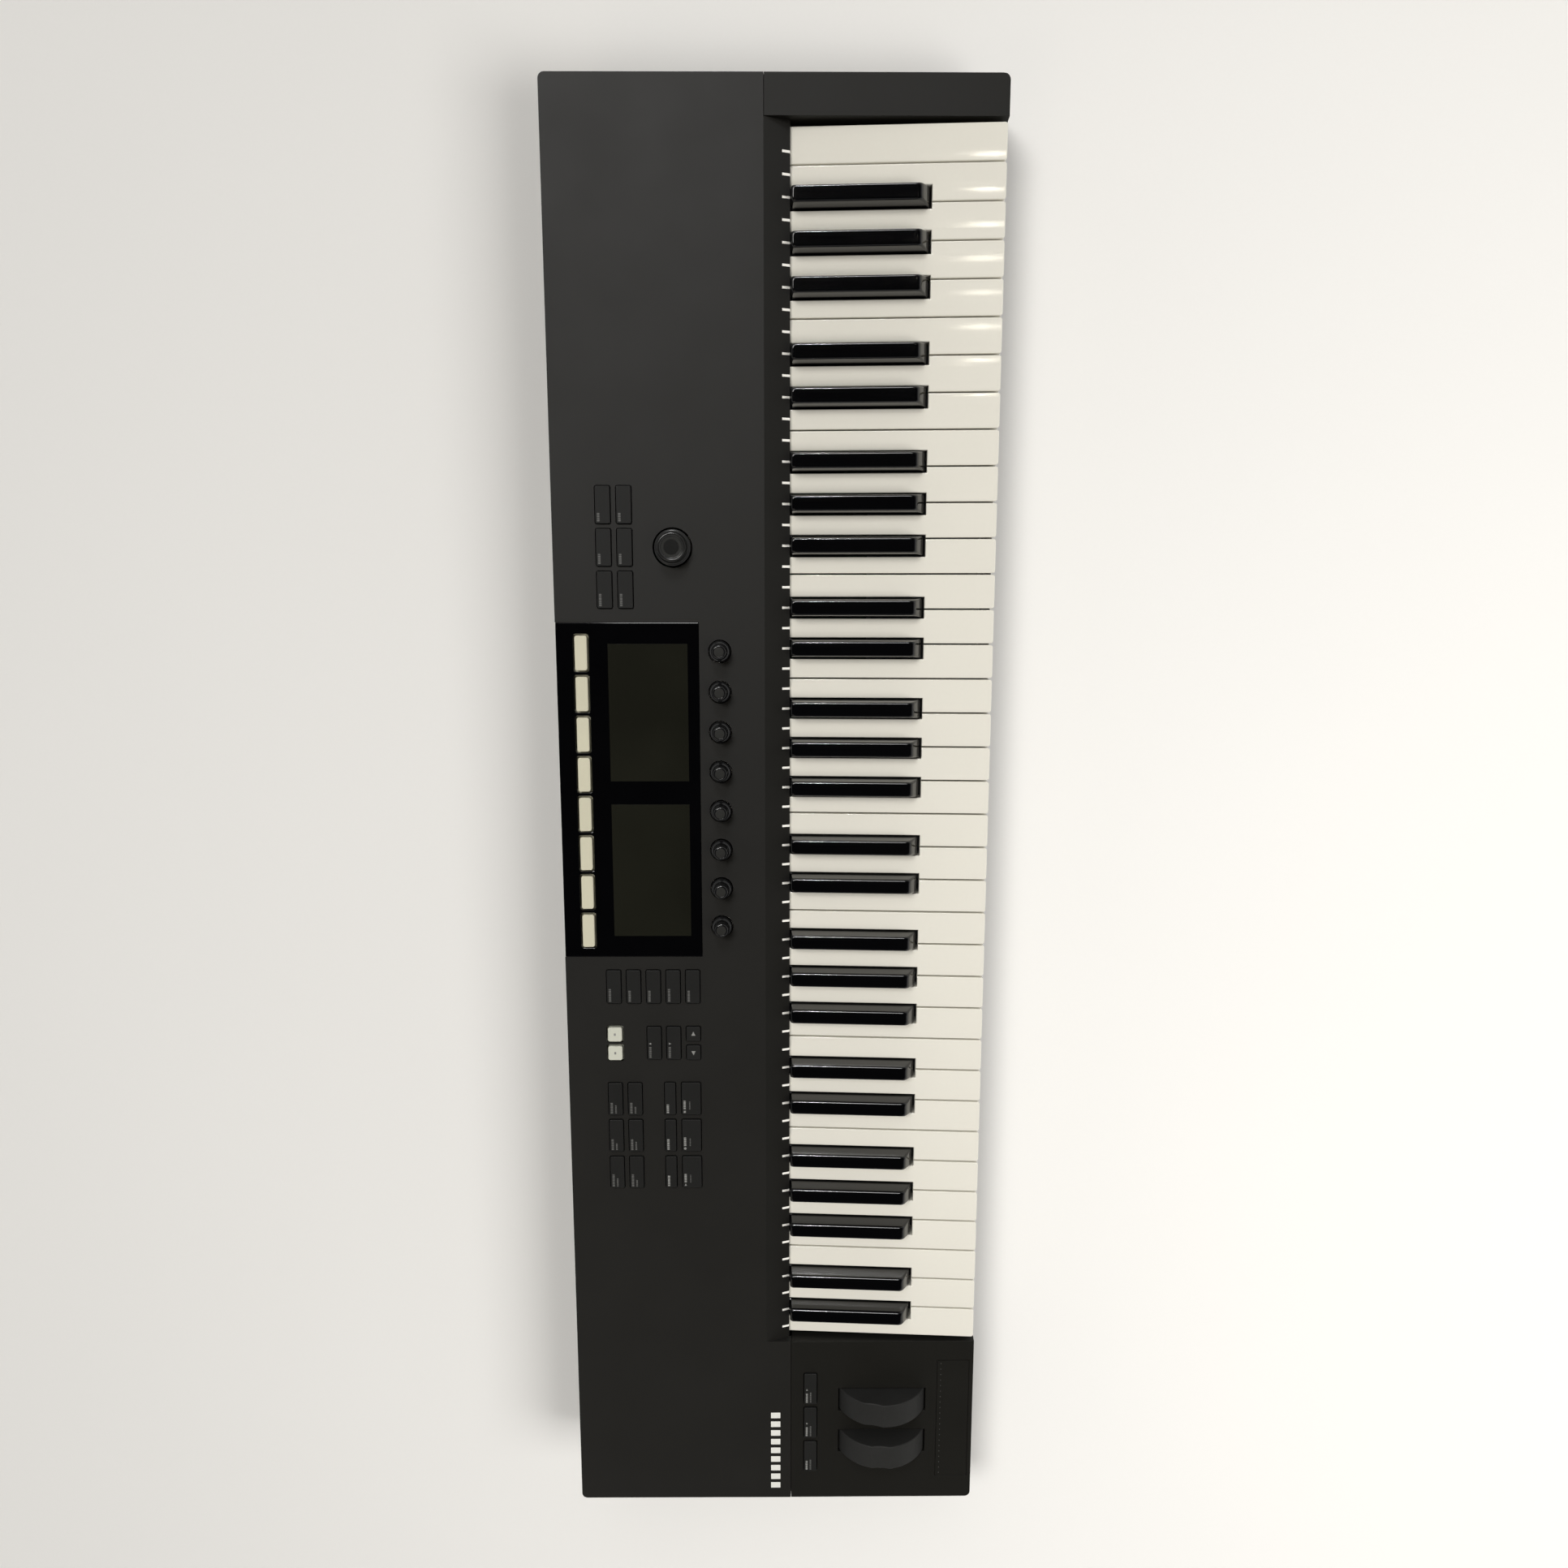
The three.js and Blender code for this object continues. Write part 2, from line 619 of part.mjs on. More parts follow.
function sharp(step, octaveX) {
  const x = octaveX + (step + 0.5) * CHROMATIC_PITCH;
  const section = [
    [SHARP_REAR_Y, NATURAL_UNDER],
    [SHARP_REAR_Y, SHARP_TOP],
    [SHARP_FRONT_Y + 7.5, SHARP_TOP],
    [SHARP_FRONT_Y + 5.2, SHARP_TOP - 1],
    [SHARP_FRONT_Y + 0.6, NATURAL_TOP + 0.6],
    [SHARP_FRONT_Y, NATURAL_TOP - 2],
    [SHARP_FRONT_Y, NATURAL_UNDER],
  ];
  const half = SHARP_BASE_W / 2;
  const topHalf = SHARP_TOP_W / 2;
  const side = prismX(section, x - half, x + half);
  const shoulders = [
    [half + 1, NATURAL_TOP + 0.5, topHalf + 1.03, SHARP_TOP + 0.5],
  ].flatMap(([wide, low, narrow, high]) =>
    [-1, 1].map((s) =>
      prismY(
        [
          [x + s * (half + 0.01), low],
          [x + s * (half + 4), low],
          [x + s * (half + 4), high],
          [x + s * (narrow - 1.03), high],
        ],
        SHARP_FRONT_Y - 1,
        SHARP_REAR_Y + 1,
      ),
    ),
  );
  const tail = box(x - half, x + half, SHARP_REAR_Y - 1, KEY_REAR_Y, NATURAL_UNDER, TAIL_TOP);
  return { body: join([side.subtract(join(shoulders)), tail]), x0: x - half, x1: x + half };
}

// A prism of a section in (x, z), running between two y values.
function prismY(points, y0, y1) {
  const shape = new THREE.Shape(points.map(([x, z]) => new THREE.Vector2(x, z)));
  const g = new THREE.ExtrudeGeometry(shape, { depth: y1 - y0, bevelEnabled: false });
  return solid(g.rotateX(Math.PI / 2).translate(0, y1, 0));
}

// Keys of one comb: each runs back to its comb's own web, and the three webs lie one over another.
function comb(keys, level, x0, x1) {
  const z = WEB_Z[level];
  const web = box(x0, x1, WEB_Y[0], WEB_Y[1], z, z + WEB_THICK);
  const links = keys.map((k) =>
    box(k.x0 + 1, k.x1 - 1, KEY_REAR_Y - 1, WEB_Y[0] + 1, z, z + WEB_THICK),
  );
  return join([web, ...links, ...keys.map((k) => k.body)]);
}

function keyCombs() {
  const combs = {};
  for (let o = 0; o < OCTAVES; o++) {
    const x = KEYS_X + o * OCTAVE;
    const span = [x + 0.5, x + OCTAVE - 0.5];
    const naturals = (letters) => [...letters].map((name) => natural(name, x));
    const sharps = SHARP_STEPS.map((step) => sharp(step, x));
    combs[`keys_${o + 1}_cegb`] = comb(naturals("CEGB"), "cegb", ...span);
    combs[`keys_${o + 1}_dfa`] = comb(naturals("DFA"), "dfa", ...span);
    combs[`keys_${o + 1}_sharps`] = comb(sharps, "sharps", ...span);
  }
  const x = KEYS_X + OCTAVES * OCTAVE;
  const last = natural("C", x, true);
  combs.key_top_c = comb([last], "cegb", x + 0.5, x + NATURAL_PITCH - 0.5);
  return combs;
}

// ---- Under the keys ----
const DECK_Z = 10;

function keybedChassis() {
  const x0 = KEYS_X - 1;
  const x1 = KEYS_X + OCTAVES * OCTAVE + NATURAL_PITCH + 1;
  const floor = FOOT_H + TRAY_FLOOR + GAP;
  const deck = box(x0, x1, -140, 65, DECK_Z, DECK_Z + 1.6);
  const front = box(x0, x1, -141.6, -140, DECK_Z, 24);
  const rear = box(x0, x1, 62.4, 65, DECK_Z, 56);
  const ribs = [-58, 16].map((y) => box(x0 + 10, x1 - 10, y - 3, y + 3, DECK_Z + 1, 19.7));
  const runners = [-120, 40].map((y) => box(x0 + 4, x1 - 4, y - 6, y + 6, floor, DECK_Z + 0.5));
  return join([deck, front, rear, ...ribs, ...runners]);
}

function keyContactBoard() {
  const x1 = KEYS_X + OCTAVES * OCTAVE + NATURAL_PITCH;
  return box(KEYS_X + 12, x1 - 12, -62, 20, 20, 21.6);
}

function mainBoard() {
  return box(-255, 255, 67, 138, 50, 51.6);
}

function foot(x, y) {
  const profile = [
    [0, 0],
    [FOOT_R - 1, 0],
    [FOOT_R, 1],
    [FOOT_R, FOOT_H + FOOT_RECESS - GAP],
    [0, FOOT_H + FOOT_RECESS - GAP],
  ];
  return turned(profile, x, y, 24);
}

// ---- Assembly ----
const keyboard = new THREE.Group();
keyboard.name = "controller_keyboard";

function add(name, body, material) {
  const { vertProperties, triVerts } = body.getMesh();
  const g = new THREE.BufferGeometry();
  g.setAttribute("position", new THREE.BufferAttribute(vertProperties, 3));
  g.setIndex(new THREE.BufferAttribute(triVerts, 1));
  const flat = g.toNonIndexed();
  flat.computeVertexNormals();
  const mesh = new THREE.Mesh(flat, material);
  mesh.name = name;
  keyboard.add(mesh);
}

add("bottom_case", bottomCase(), BLACK_ABS);
add("top_panel", topPanel(), COATED_METAL);
add("wheel_panel", wheelPanel(), BLACK_ABS);
add(
  "right_end_block",
  endBlock(RIGHT_BLOCK_X + GAP, HALF_L, 2.5, WALL, CREASE_Y - GAP),
  BLACK_ABS,
);
add("display_glass", displayGlass(), GLOSS_ACRYLIC);
add("screen_left", screen(SCREEN.x[0]), SCREEN_GLASS);
add("screen_right", screen(SCREEN.x[1]), SCREEN_GLASS);
add("light_guide", lightGuide(), LIGHT_ACRYLIC);
add("touch_strip", touchStrip(), GLOSS_ACRYLIC);
add("keybed_chassis", keybedChassis(), STEEL);
add("key_contact_board", keyContactBoard(), BOARD);
add("main_board", mainBoard(), BOARD);
add("rear_jack_board", rearJackBoard(), BOARD);
add("wheel_bracket", wheelBracket(), STEEL);
add("foot_front_left", foot(FEET.left, FEET.front), RUBBER);
add("foot_front_right", foot(FEET.right, FEET.front), RUBBER);
add("foot_rear_left", foot(FEET.left, FEET.rear), RUBBER);
add("foot_rear_right", foot(FEET.right, FEET.rear), RUBBER);
add("pitch_wheel", wheel(WHEEL_X.pitch, 0), BUTTON_SILICONE);
add("mod_wheel", wheel(WHEEL_X.mod, 9), BUTTON_SILICONE);
for (let i = 0; i < 8; i++) add(`knob_${i + 1}`, knob(i), BLACK_ABS);
add("encoder_cap", encoderCap(), BLACK_ABS);
add("encoder_stem", encoderStem(), STEEL);
add("encoder_carrier", encoderCarrier(), BLACK_ABS);
add("encoder_gimbal", encoderGimbal(), BLACK_ABS);
for (const [name, group] of Object.entries(BUTTONS)) {
  const pale = name === "soft_buttons" || name === "mute_solo_buttons";
  add(name, buttonMat(group), pale ? PALE_SILICONE : BUTTON_SILICONE);
}
for (const [name, body] of Object.entries(keyCombs())) {
  add(name, body, name.endsWith("sharps") ? EBONY_ABS : IVORY_ABS);
}

export default keyboard;
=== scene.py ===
"""A 61-key controller keyboard: its surfaces, keys, caps and fittings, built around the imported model."""

import math

import bmesh
import bpy
from bpy.props import FloatProperty, FloatVectorProperty, IntProperty, PointerProperty
from mathutils import Matrix, Vector


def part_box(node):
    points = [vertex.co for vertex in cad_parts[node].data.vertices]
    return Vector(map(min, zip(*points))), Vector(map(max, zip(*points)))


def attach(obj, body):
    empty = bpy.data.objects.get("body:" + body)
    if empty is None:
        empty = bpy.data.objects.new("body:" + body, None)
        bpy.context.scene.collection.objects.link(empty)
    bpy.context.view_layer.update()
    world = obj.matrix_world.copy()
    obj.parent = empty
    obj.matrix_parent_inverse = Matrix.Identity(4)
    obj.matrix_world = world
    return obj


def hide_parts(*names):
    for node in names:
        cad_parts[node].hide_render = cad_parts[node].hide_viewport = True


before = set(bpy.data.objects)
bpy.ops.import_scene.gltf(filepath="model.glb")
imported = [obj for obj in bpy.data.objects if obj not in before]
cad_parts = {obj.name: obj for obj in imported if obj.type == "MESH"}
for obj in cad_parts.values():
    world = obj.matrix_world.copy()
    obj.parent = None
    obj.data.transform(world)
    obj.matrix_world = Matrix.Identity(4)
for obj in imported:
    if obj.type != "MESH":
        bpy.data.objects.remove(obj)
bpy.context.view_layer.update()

bl_info = {
    "name": "Controller Keyboard",
    "version": (1, 0, 0),
    "blender": (4, 5, 0),
    "location": "3D View > Sidebar > Keyboard",
    "description": "Builds the pieces and finishes of a 61-key controller keyboard",
    "category": "Add Mesh",
}

MM = 0.001
OCTAVES = 5
SHARP_STEPS = (1, 3, 6, 8, 10)
STEPS = {"C": 0, "D": 2, "E": 4, "F": 5, "G": 7, "A": 9, "B": 11}
SHARP_SIDES = {"C": "R", "D": "LR", "E": "L", "F": "R", "G": "LR", "A": "LR", "B": "L"}
# The webs that join an octave's keys behind the panel's lip, in mm: their height over the keys' underside,
# their section, and how far the keys end in front of the webs' rear.
WEB_RISE = {"cegb": 9.2, "dfa": 4.8, "sharps": 0.4}
WEB_THICK = 2.4
WEB_DEEP = 17.0
KEY_REAR_GAP = 18.0
# Space in front of a sharp, in mm, and steps in a rounded corner.
NOTCH_AHEAD = 1.6
CORNER_STEPS = 4
# Half the floor's side, in mm, and the parts in its grid.
FLOOR_REACH = 12000.0
FLOOR_PARTS = 12

DARK_MATS = (
    "browse_buttons", "edit_buttons", "loop_buttons", "play_button", "record_button",
    "stop_button", "preset_buttons", "mode_buttons", "octave_buttons",
)


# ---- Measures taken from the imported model, in mm ----
def box_mm(node):
    low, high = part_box(node)
    return low / MM, high / MM


def slope_of(node):
    """The matrix from a slope's own axes (across, up the slope, out of it) to the row frame."""
    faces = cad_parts[node].data.polygons
    top = max(faces, key=lambda f: f.area if f.normal.z > 0.9 else 0)
    tilt = math.atan2(-top.normal.y, top.normal.z)
    origin = (top.center.z - top.center.y * math.tan(tilt)) / MM
    return Matrix.Translation((0, 0, origin)) @ Matrix.Rotation(tilt, 4, "X")


PANEL = slope_of("display_glass")
BLOCK = slope_of("touch_strip")


def box_on(node, slope):
    """Lowest and highest corner of a node in a slope's own axes."""
    back = slope.inverted()
    points = [back @ (v.co / MM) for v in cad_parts[node].data.vertices]
    return [Vector(pick(p[k] for p in points) for k in range(3)) for pick in (min, max)]


def islands(node, slope, keep):
    """Boxes of the joined groups of a node's faces that keep(face) picks, in a slope's own axes."""
    bm = bmesh.new()
    bm.from_mesh(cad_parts[node].data)
    bmesh.ops.transform(bm, matrix=slope.inverted() @ Matrix.Scale(1 / MM, 4), verts=bm.verts)
    bmesh.ops.remove_doubles(bm, verts=bm.verts, dist=0.01)
    bm.normal_update()
    level = max(v.co.z for v in bm.verts)
    left = {f for f in bm.faces if keep(f, level)}
    found = []
    while left:
        group, edge = set(), {left.pop()}
        while edge:
            group |= edge
            edge = {n for f in edge for e in f.edges for n in e.link_faces if n in left}
            left -= edge
        points = [v.co.copy() for f in group for v in f.verts]
        found.append([Vector(pick(p[k] for p in points) for k in range(3)) for pick in (min, max)])
    bm.free()
    return found


def cap_tops(node, slope):
    """Boxes of the flat tops of a button mat, from the rear row to the front, left to right."""
    tops = islands(node, slope, lambda f, level: all(v.co.z > level - 0.05 for v in f.verts))
    return sorted(tops, key=lambda b: (-round(b[0].y), b[0].x))


def slope_for(node):
    return BLOCK if node == "octave_buttons" else PANEL


# ---- Colours and shader nodes ----
def linear(code):
    """An sRGB hex colour as linear red, green, blue and alpha."""
    parts = [int(code[i : i + 2], 16) / 255 for i in (1, 3, 5)]
    return tuple(p / 12.92 if p <= 0.04045 else ((p + 0.055) / 1.055) ** 2.4 for p in parts) + (1.0,)


def shade(colour, by):
    return tuple(c * by for c in colour[:3]) + (1.0,)


def add(tree, kind, sockets=(), **settings):
    """Adds a shader node, with its settings, its socket values and its links, and returns it."""
    made = tree.nodes.new("ShaderNode" + kind)
    for name, value in settings.items():
        setattr(made, name, value)
    for name, value in dict(sockets).items():
        if isinstance(value, bpy.types.NodeSocket):
            tree.links.new(value, made.inputs[name])
        else:
            made.inputs[name].default_value = value
    return made


def per_mm(size):
    """The scale that gives a pattern features of a size in millimetres."""
    return 1 / (size * MM)


def start(name):
    """A material with an empty tree and its place in the object's own space."""
    material = bpy.data.materials.new(name)
    material.use_nodes = True
    material.node_tree.nodes.clear()
    place = add(material.node_tree, "TexCoord").outputs["Object"]
    return material, material.node_tree, place


# Noise seldom leaves its middle, so tones and gloss run over that part of it.
MIDDLE = (0.3, 0.7)


def close(tree, pattern, tones, cloud, rough, pattern_span=(0.0, 1.0), cloud_span=(0.0, 1.0), **sockets):
    """Ends a finish: two tones along a pattern and two roughnesses along a cloud, on one shader."""
    ramp = add(tree, "ValToRGB", {"Fac": pattern})
    for i in range(2):
        ramp.color_ramp.elements[i].position = pattern_span[i]
        ramp.color_ramp.elements[i].color = tones[i]
    ends = dict(zip(("From Min", "From Max", "To Min", "To Max"), (*cloud_span, *rough)))
    gloss = add(tree, "MapRange", {"Value": cloud, **ends})
    values = {"Base Color": ramp.outputs[0], "Roughness": gloss.outputs[0]}
    values.update({name.replace("_", " "): value for name, value in sockets.items()})
    shader = add(tree, "BsdfPrincipled", values)
    add(tree, "OutputMaterial", {"Surface": shader.outputs[0]})
    tree.nodes.active = shader


def grained(name, colour, tone=0.82, rough=(0.4, 0.5), grain=0.4, depth=0.01, cloud=45.0, **sockets):
    """A finish whose fine grain gives height, and whose slow cloud changes colour and gloss."""
    material, tree, place = start(name)
    fine = add(tree, "TexNoise", {"Vector": place, "Scale": per_mm(grain), "Detail": 3.0}).outputs["Fac"]
    slow = add(tree, "TexNoise", {"Vector": place, "Scale": per_mm(cloud), "Detail": 4.0}).outputs["Fac"]
    both = add(tree, "Mix", {"Factor": 0.35, "A": slow, "B": fine}).outputs[0]
    bump = add(tree, "Bump", {"Height": fine, "Distance": depth * MM}).outputs[0]
    tones = (shade(colour, tone), shade(colour, 2 - tone))
    close(tree, both, tones, both, rough, MIDDLE, MIDDLE, Normal=bump, **sockets)
    return material


def clouded_metal(name, cloud_size, detail, dark, pale, rough):
    """A metal whose tone and gloss follow one fine cloud."""
    material, tree, place = start(name)
    scale = per_mm(cloud_size)
    cloud = add(tree, "TexNoise", {"Vector": place, "Scale": scale, "Detail": detail}).outputs["Fac"]
    close(tree, cloud, (linear(dark), linear(pale)), cloud, rough, Metallic=1.0)
    return material


def colours():
    return bpy.context.scene.keyboard_colours


FINISHES = {}


def finish(maker):
    """Makes a finish once, under its function's name, and gives the same one again after that."""

    def once():
        name = maker.__name__
        if name not in FINISHES:
            FINISHES[name] = maker(name)
        return FINISHES[name]

    return once


SOFT_PAINT = {"tone": 0.9, "rough": (0.56, 0.64), "grain": 0.35, "depth": 0.008}
PALE_COAT = {"rough": (0.45, 0.55), "grain": 0.4, "depth": 0.008, "IOR": 1.41}
THIN_INK = {"tone": 0.8, "rough": (0.5, 0.6), "grain": 0.5, "depth": 0.004, "cloud": 2.5}


# Spark-eroded black ABS: a fine even grain, so light from the side spreads into a soft grey.
@finish
def case_abs_grained(name):
    return grained(name, colours().case, rough=(0.5, 0.6), grain=0.6, depth=0.03, Specular_IOR_Level=0.3)


# Soft-touch painted panel: nearly smooth, so a lamp makes one wide dull patch on it.
@finish
def panel_soft_paint(name):
    return grained(name, colours().panel, Specular_IOR_Level=0.4, **SOFT_PAINT)


# The same paint on the end blocks, from another batch: a little darker and warmer.
@finish
def block_soft_paint(name):
    return grained(name, colours().end_block, Specular_IOR_Level=0.3, **SOFT_PAINT)


# Moulded ABS of the wheels: dry and matt for grip, so lamps leave only a soft paler band.
@finish
def wheel_abs_satin(name):
    return grained(name, colours().wheel, rough=(0.5, 0.6), grain=0.5, depth=0.02, Specular_IOR_Level=0.12)


# Polished ABS sides of the knobs: small bright lamp reflections.
@finish
def knob_abs_polished(name):
    return grained(name, colours().knob, rough=(0.12, 0.16), grain=1.2, depth=0.001, IOR=1.53)


# Etched tops of the knobs and dish of the encoder: no lamp reflections, a flat dark grey.
@finish
def knob_abs_etched(name):
    return grained(name, colours().knob_top, rough=(0.5, 0.6), grain=0.3, depth=0.015, Specular_IOR_Level=0.2)


# Satin ABS of the encoder's cap: thin crescents of light round its ring.
@finish
def encoder_abs_satin(name):
    return grained(name, colours().encoder, rough=(0.2, 0.26), grain=0.8, depth=0.003, IOR=1.53)


# Ivory ABS, polished mould: a warm white with a thin even shine and a soft depth.
@finish
def natural_abs_polished(name):
    look = {"tone": 0.985, "rough": (0.06, 0.1), "grain": 2.5, "depth": 0.001, "cloud": 60.0}
    return grained(name, colours().natural, IOR=1.5, **look)


# Black ABS, polished mould: long narrow lamp lines along the edges.
@finish
def sharp_abs_polished(name):
    return grained(name, colours().sharp, rough=(0.07, 0.11), grain=2.0, depth=0.001, IOR=1.53)


# Black-backed acrylic window: mirror-smooth, dark from straight above.
@finish
def window_acrylic_polished(name):
    return grained(name, colours().window, rough=(0.03, 0.06), grain=6.0, depth=0.0006, IOR=1.49)


# Unlit liquid-crystal display behind the acrylic: a brown-grey field with fine rows and columns of cells.
@finish
def display_cells_laminated(name):
    material, tree, place = start(name)
    # Real cells are 0.2 mm; they are drawn at 0.9 mm, so that they show.
    turns = 2 * math.pi * per_mm(0.9)
    apart = add(tree, "SeparateXYZ", {"Vector": place})
    waves = []
    for i in range(2):
        along = add(tree, "Math", {0: apart.outputs[i], 1: turns}, operation="MULTIPLY").outputs[0]
        waves.append(add(tree, "Math", {0: along}, operation="SINE").outputs[0])
    cells = add(tree, "Math", {0: waves[0], 1: waves[1]}, operation="MAXIMUM").outputs[0]
    cloud = add(tree, "TexNoise", {"Vector": place, "Scale": per_mm(70.0), "Detail": 2.0}).outputs["Fac"]
    field = add(tree, "Math", {0: cells, 1: 0.12, 2: cloud}, operation="MULTIPLY_ADD").outputs[0]
    tones = (shade(colours().screen, 0.85), shade(colours().screen, 1.15))
    close(tree, field, tones, cloud, (0.08, 0.16), MIDDLE, IOR=1.49)
    return material


# Frosted acrylic light guide: a milky off-white that keeps its colour in shade.
@finish
def light_guide_acrylic_frosted(name):
    look = {"tone": 0.96, "rough": (0.35, 0.45), "grain": 0.4, "depth": 0.01}
    return grained(name, colours().light_guide, IOR=1.49, **look)


# Dark silicone caps with a sprayed matt coat: dry, with no sharp reflections.
@finish
def silicone_dark_coated(name):
    look = {"tone": 0.88, "rough": (0.5, 0.6), "grain": 0.3, "depth": 0.01}
    return grained(name, colours().button, Specular_IOR_Level=0.2, **look)


# Pale silicone caps: chalky, and a little uneven in colour.
@finish
def silicone_pale_coated(name):
    return grained(name, colours().pale_button, tone=0.96, **PALE_COAT)


# White silicone caps, lit from below when in use: whiter than the pale ones, with the same chalky coat.
@finish
def silicone_white_coated(name):
    return grained(name, colours().white_button, tone=0.97, **PALE_COAT)


# Pad-printed grey ink on the caps: thin, and slightly patchy.
@finish
def ink_grey_pad_printed(name):
    return grained(name, colours().print_grey, **THIN_INK)


# The same grey ink, thinner, so that the caps' dark rubber shows through.
@finish
def ink_dim_pad_printed(name):
    return grained(name, colours().print_dim, **THIN_INK)


# Pad-printed white ink of the mark on the panel: denser than the grey.
@finish
def ink_white_pad_printed(name):
    look = {"tone": 0.95, "rough": (0.45, 0.55), "grain": 0.5, "depth": 0.004, "cloud": 3.0}
    return grained(name, colours().print_white, **look)


# Moulded nitrile rubber of the feet: deep matt black with a dusty bloom.
@finish
def foot_rubber_moulded(name):
    look = {"tone": 0.7, "rough": (0.8, 0.95), "grain": 0.8, "depth": 0.05, "cloud": 6.0}
    return grained(name, linear("#161616"), IOR=1.52, **look)


# Galvanised sheet steel of the keybed: grey with spangles of different brightness.
@finish
def keybed_steel_galvanised(name):
    material, tree, place = start(name)
    spangle = add(tree, "TexVoronoi", {"Vector": place, "Scale": per_mm(9.0)})
    slope = spangle.outputs["Distance"]
    bump = add(tree, "Bump", {"Height": slope, "Distance": 0.02 * MM}).outputs[0]
    tones = (linear("#7d8084"), linear("#a3a6aa"))
    close(tree, spangle.outputs["Color"], tones, slope, (0.32, 0.5), Normal=bump, Metallic=1.0)
    return material


# Black-oxide steel of the screws: dark metal with a faint oil sheen.
@finish
def steel_black_oxide(name):
    return clouded_metal(name, 1.5, 4.0, "#26272b", "#45474c", (0.25, 0.5))


# Nickel-plated brass of the socket rings and pins: warm bright metal, clouded by fine turning marks.
@finish
def nickel_plated_turned(name):
    return clouded_metal(name, 0.5, 2.0, "#a9a49a", "#cbc6bb", (0.18, 0.34))


# Solder mask over glass cloth: green with a fine square weave under the lacquer.
@finish
def board_solder_masked(name):
    material, tree, place = start(name)
    weave = add(tree, "TexChecker", {"Vector": place, "Scale": per_mm(1.4)}).outputs["Fac"]
    cloud = add(tree, "TexNoise", {"Vector": place, "Scale": per_mm(20.0)}).outputs["Fac"]
    both = add(tree, "Mix", {"Factor": 0.8, "A": weave, "B": cloud}).outputs[0]
    close(tree, both, (linear("#123621"), linear("#1d4c30")), cloud, (0.3, 0.5))
    return material


# Black nylon of the socket bodies: waxy, with soft broad highlights.
@finish
def socket_nylon_moulded(name):
    return grained(name, linear("#131314"), rough=(0.35, 0.45), grain=0.6, depth=0.01, IOR=1.53)


# Seamless studio paper: matt and nearly white, with a very slight tooth.
@finish
def studio_paper_matt(name):
    look = {"tone": 0.99, "rough": (0.9, 1.0), "grain": 2.0, "depth": 0.02, "cloud": 400.0}
    material = grained(name, colours().paper, **look)
    # Seen from below it is clear, so that the underside can be looked at.
    tree = material.node_tree
    end = next(n for n in tree.nodes if n.type == "OUTPUT_MATERIAL")
    top = end.inputs["Surface"].links[0].from_socket
    below = add(tree, "NewGeometry").outputs["Backfacing"]
    clear = add(tree, "BsdfTransparent").outputs[0]
    both = add(tree, "MixShader", {0: below, 1: top, 2: clear})
    tree.links.new(both.outputs[0], end.inputs["Surface"])
    return material


# ---- Mesh building, in mm ----
def loft(bm, rings, closed=False, finish_index=0):
    """Joins rings of points into a skin: open ends get a flat face, and a closed loft has none."""
    rows = [[bm.verts.new(p) for p in ring] for ring in rings]
    pairs = list(zip(rows, rows[1:])) + ([(rows[-1], rows[0])] if closed else [])
    faces = [(low[i - 1], low[i], high[i], high[i - 1]) for low, high in pairs for i in range(len(low))]
    if not closed:
        faces += [rows[0][::-1], rows[-1]]
    for corners in faces:
        bm.faces.new(corners).material_index = finish_index


def circle(x, y, r, z, count):
    turns = [2 * math.pi * i / count for i in range(count)]
    return [Vector((x + r * math.cos(a), y + r * math.sin(a), z)) for a in turns]


def turned(bm, profile, slope, x, y, segments=48, finish_index=0):
    """A turned body on a slope: the profile is a list of (radius, height)."""
    rings = [[slope @ p for p in circle(x, y, r, h, segments)] for r, h in profile]
    loft(bm, rings, finish_index=finish_index)


def rounded(x0, x1, y0, y1, r, steps=4):
    """A rectangle's outline with rounded corners, anticlockwise."""
    points = []
    centres = ((x1 - r, y0 + r, -90), (x1 - r, y1 - r, 0), (x0 + r, y1 - r, 90), (x0 + r, y0 + r, 180))
    for cx, cy, first in centres:
        for i in range(steps + 1):
            a = math.radians(first + 90 * i / steps)
            points.append(Vector((cx + r * math.cos(a), cy + r * math.sin(a))))
    return points


def shrunk(outline, by):
    """A closed anticlockwise outline moved in by a distance, corner by corner."""
    moved = []
    for i, point in enumerate(outline):
        a = (point - outline[i - 1]).normalized()
        b = (outline[(i + 1) % len(outline)] - point).normalized()
        moved.append(point + Vector((-a.y - b.y, a.x + b.x)) * (by / (1 + a.dot(b))))
    return moved


def softened(bm, outline, slope, z0, z1, edge, steps=3, finish_index=0):
    """A prism of an outline on a slope, with its upper rim rounded."""
    levels = [(0.0, z0)]
    for k in range(steps + 1):
        a = math.radians(90 * k / steps)
        levels.append((edge * (1 - math.cos(a)), z1 - edge * (1 - math.sin(a))))
    up = slope.to_3x3()
    rings = [[slope @ p.to_3d() + up @ Vector((0, 0, z)) for p in shrunk(outline, by)] for by, z in levels]
    loft(bm, rings, finish_index=finish_index)


LEVEL = Matrix.Identity(4)


def block(bm, x0, x1, y0, y1, z0, z1, slope=LEVEL, edge=0.3, finish_index=0):
    """A bar with rounded corners and a slightly smaller rounding of its upper rim."""
    softened(bm, rounded(x0, x1, y0, y1, edge, 2), slope, z0, z1, edge * 0.8, 2, finish_index)


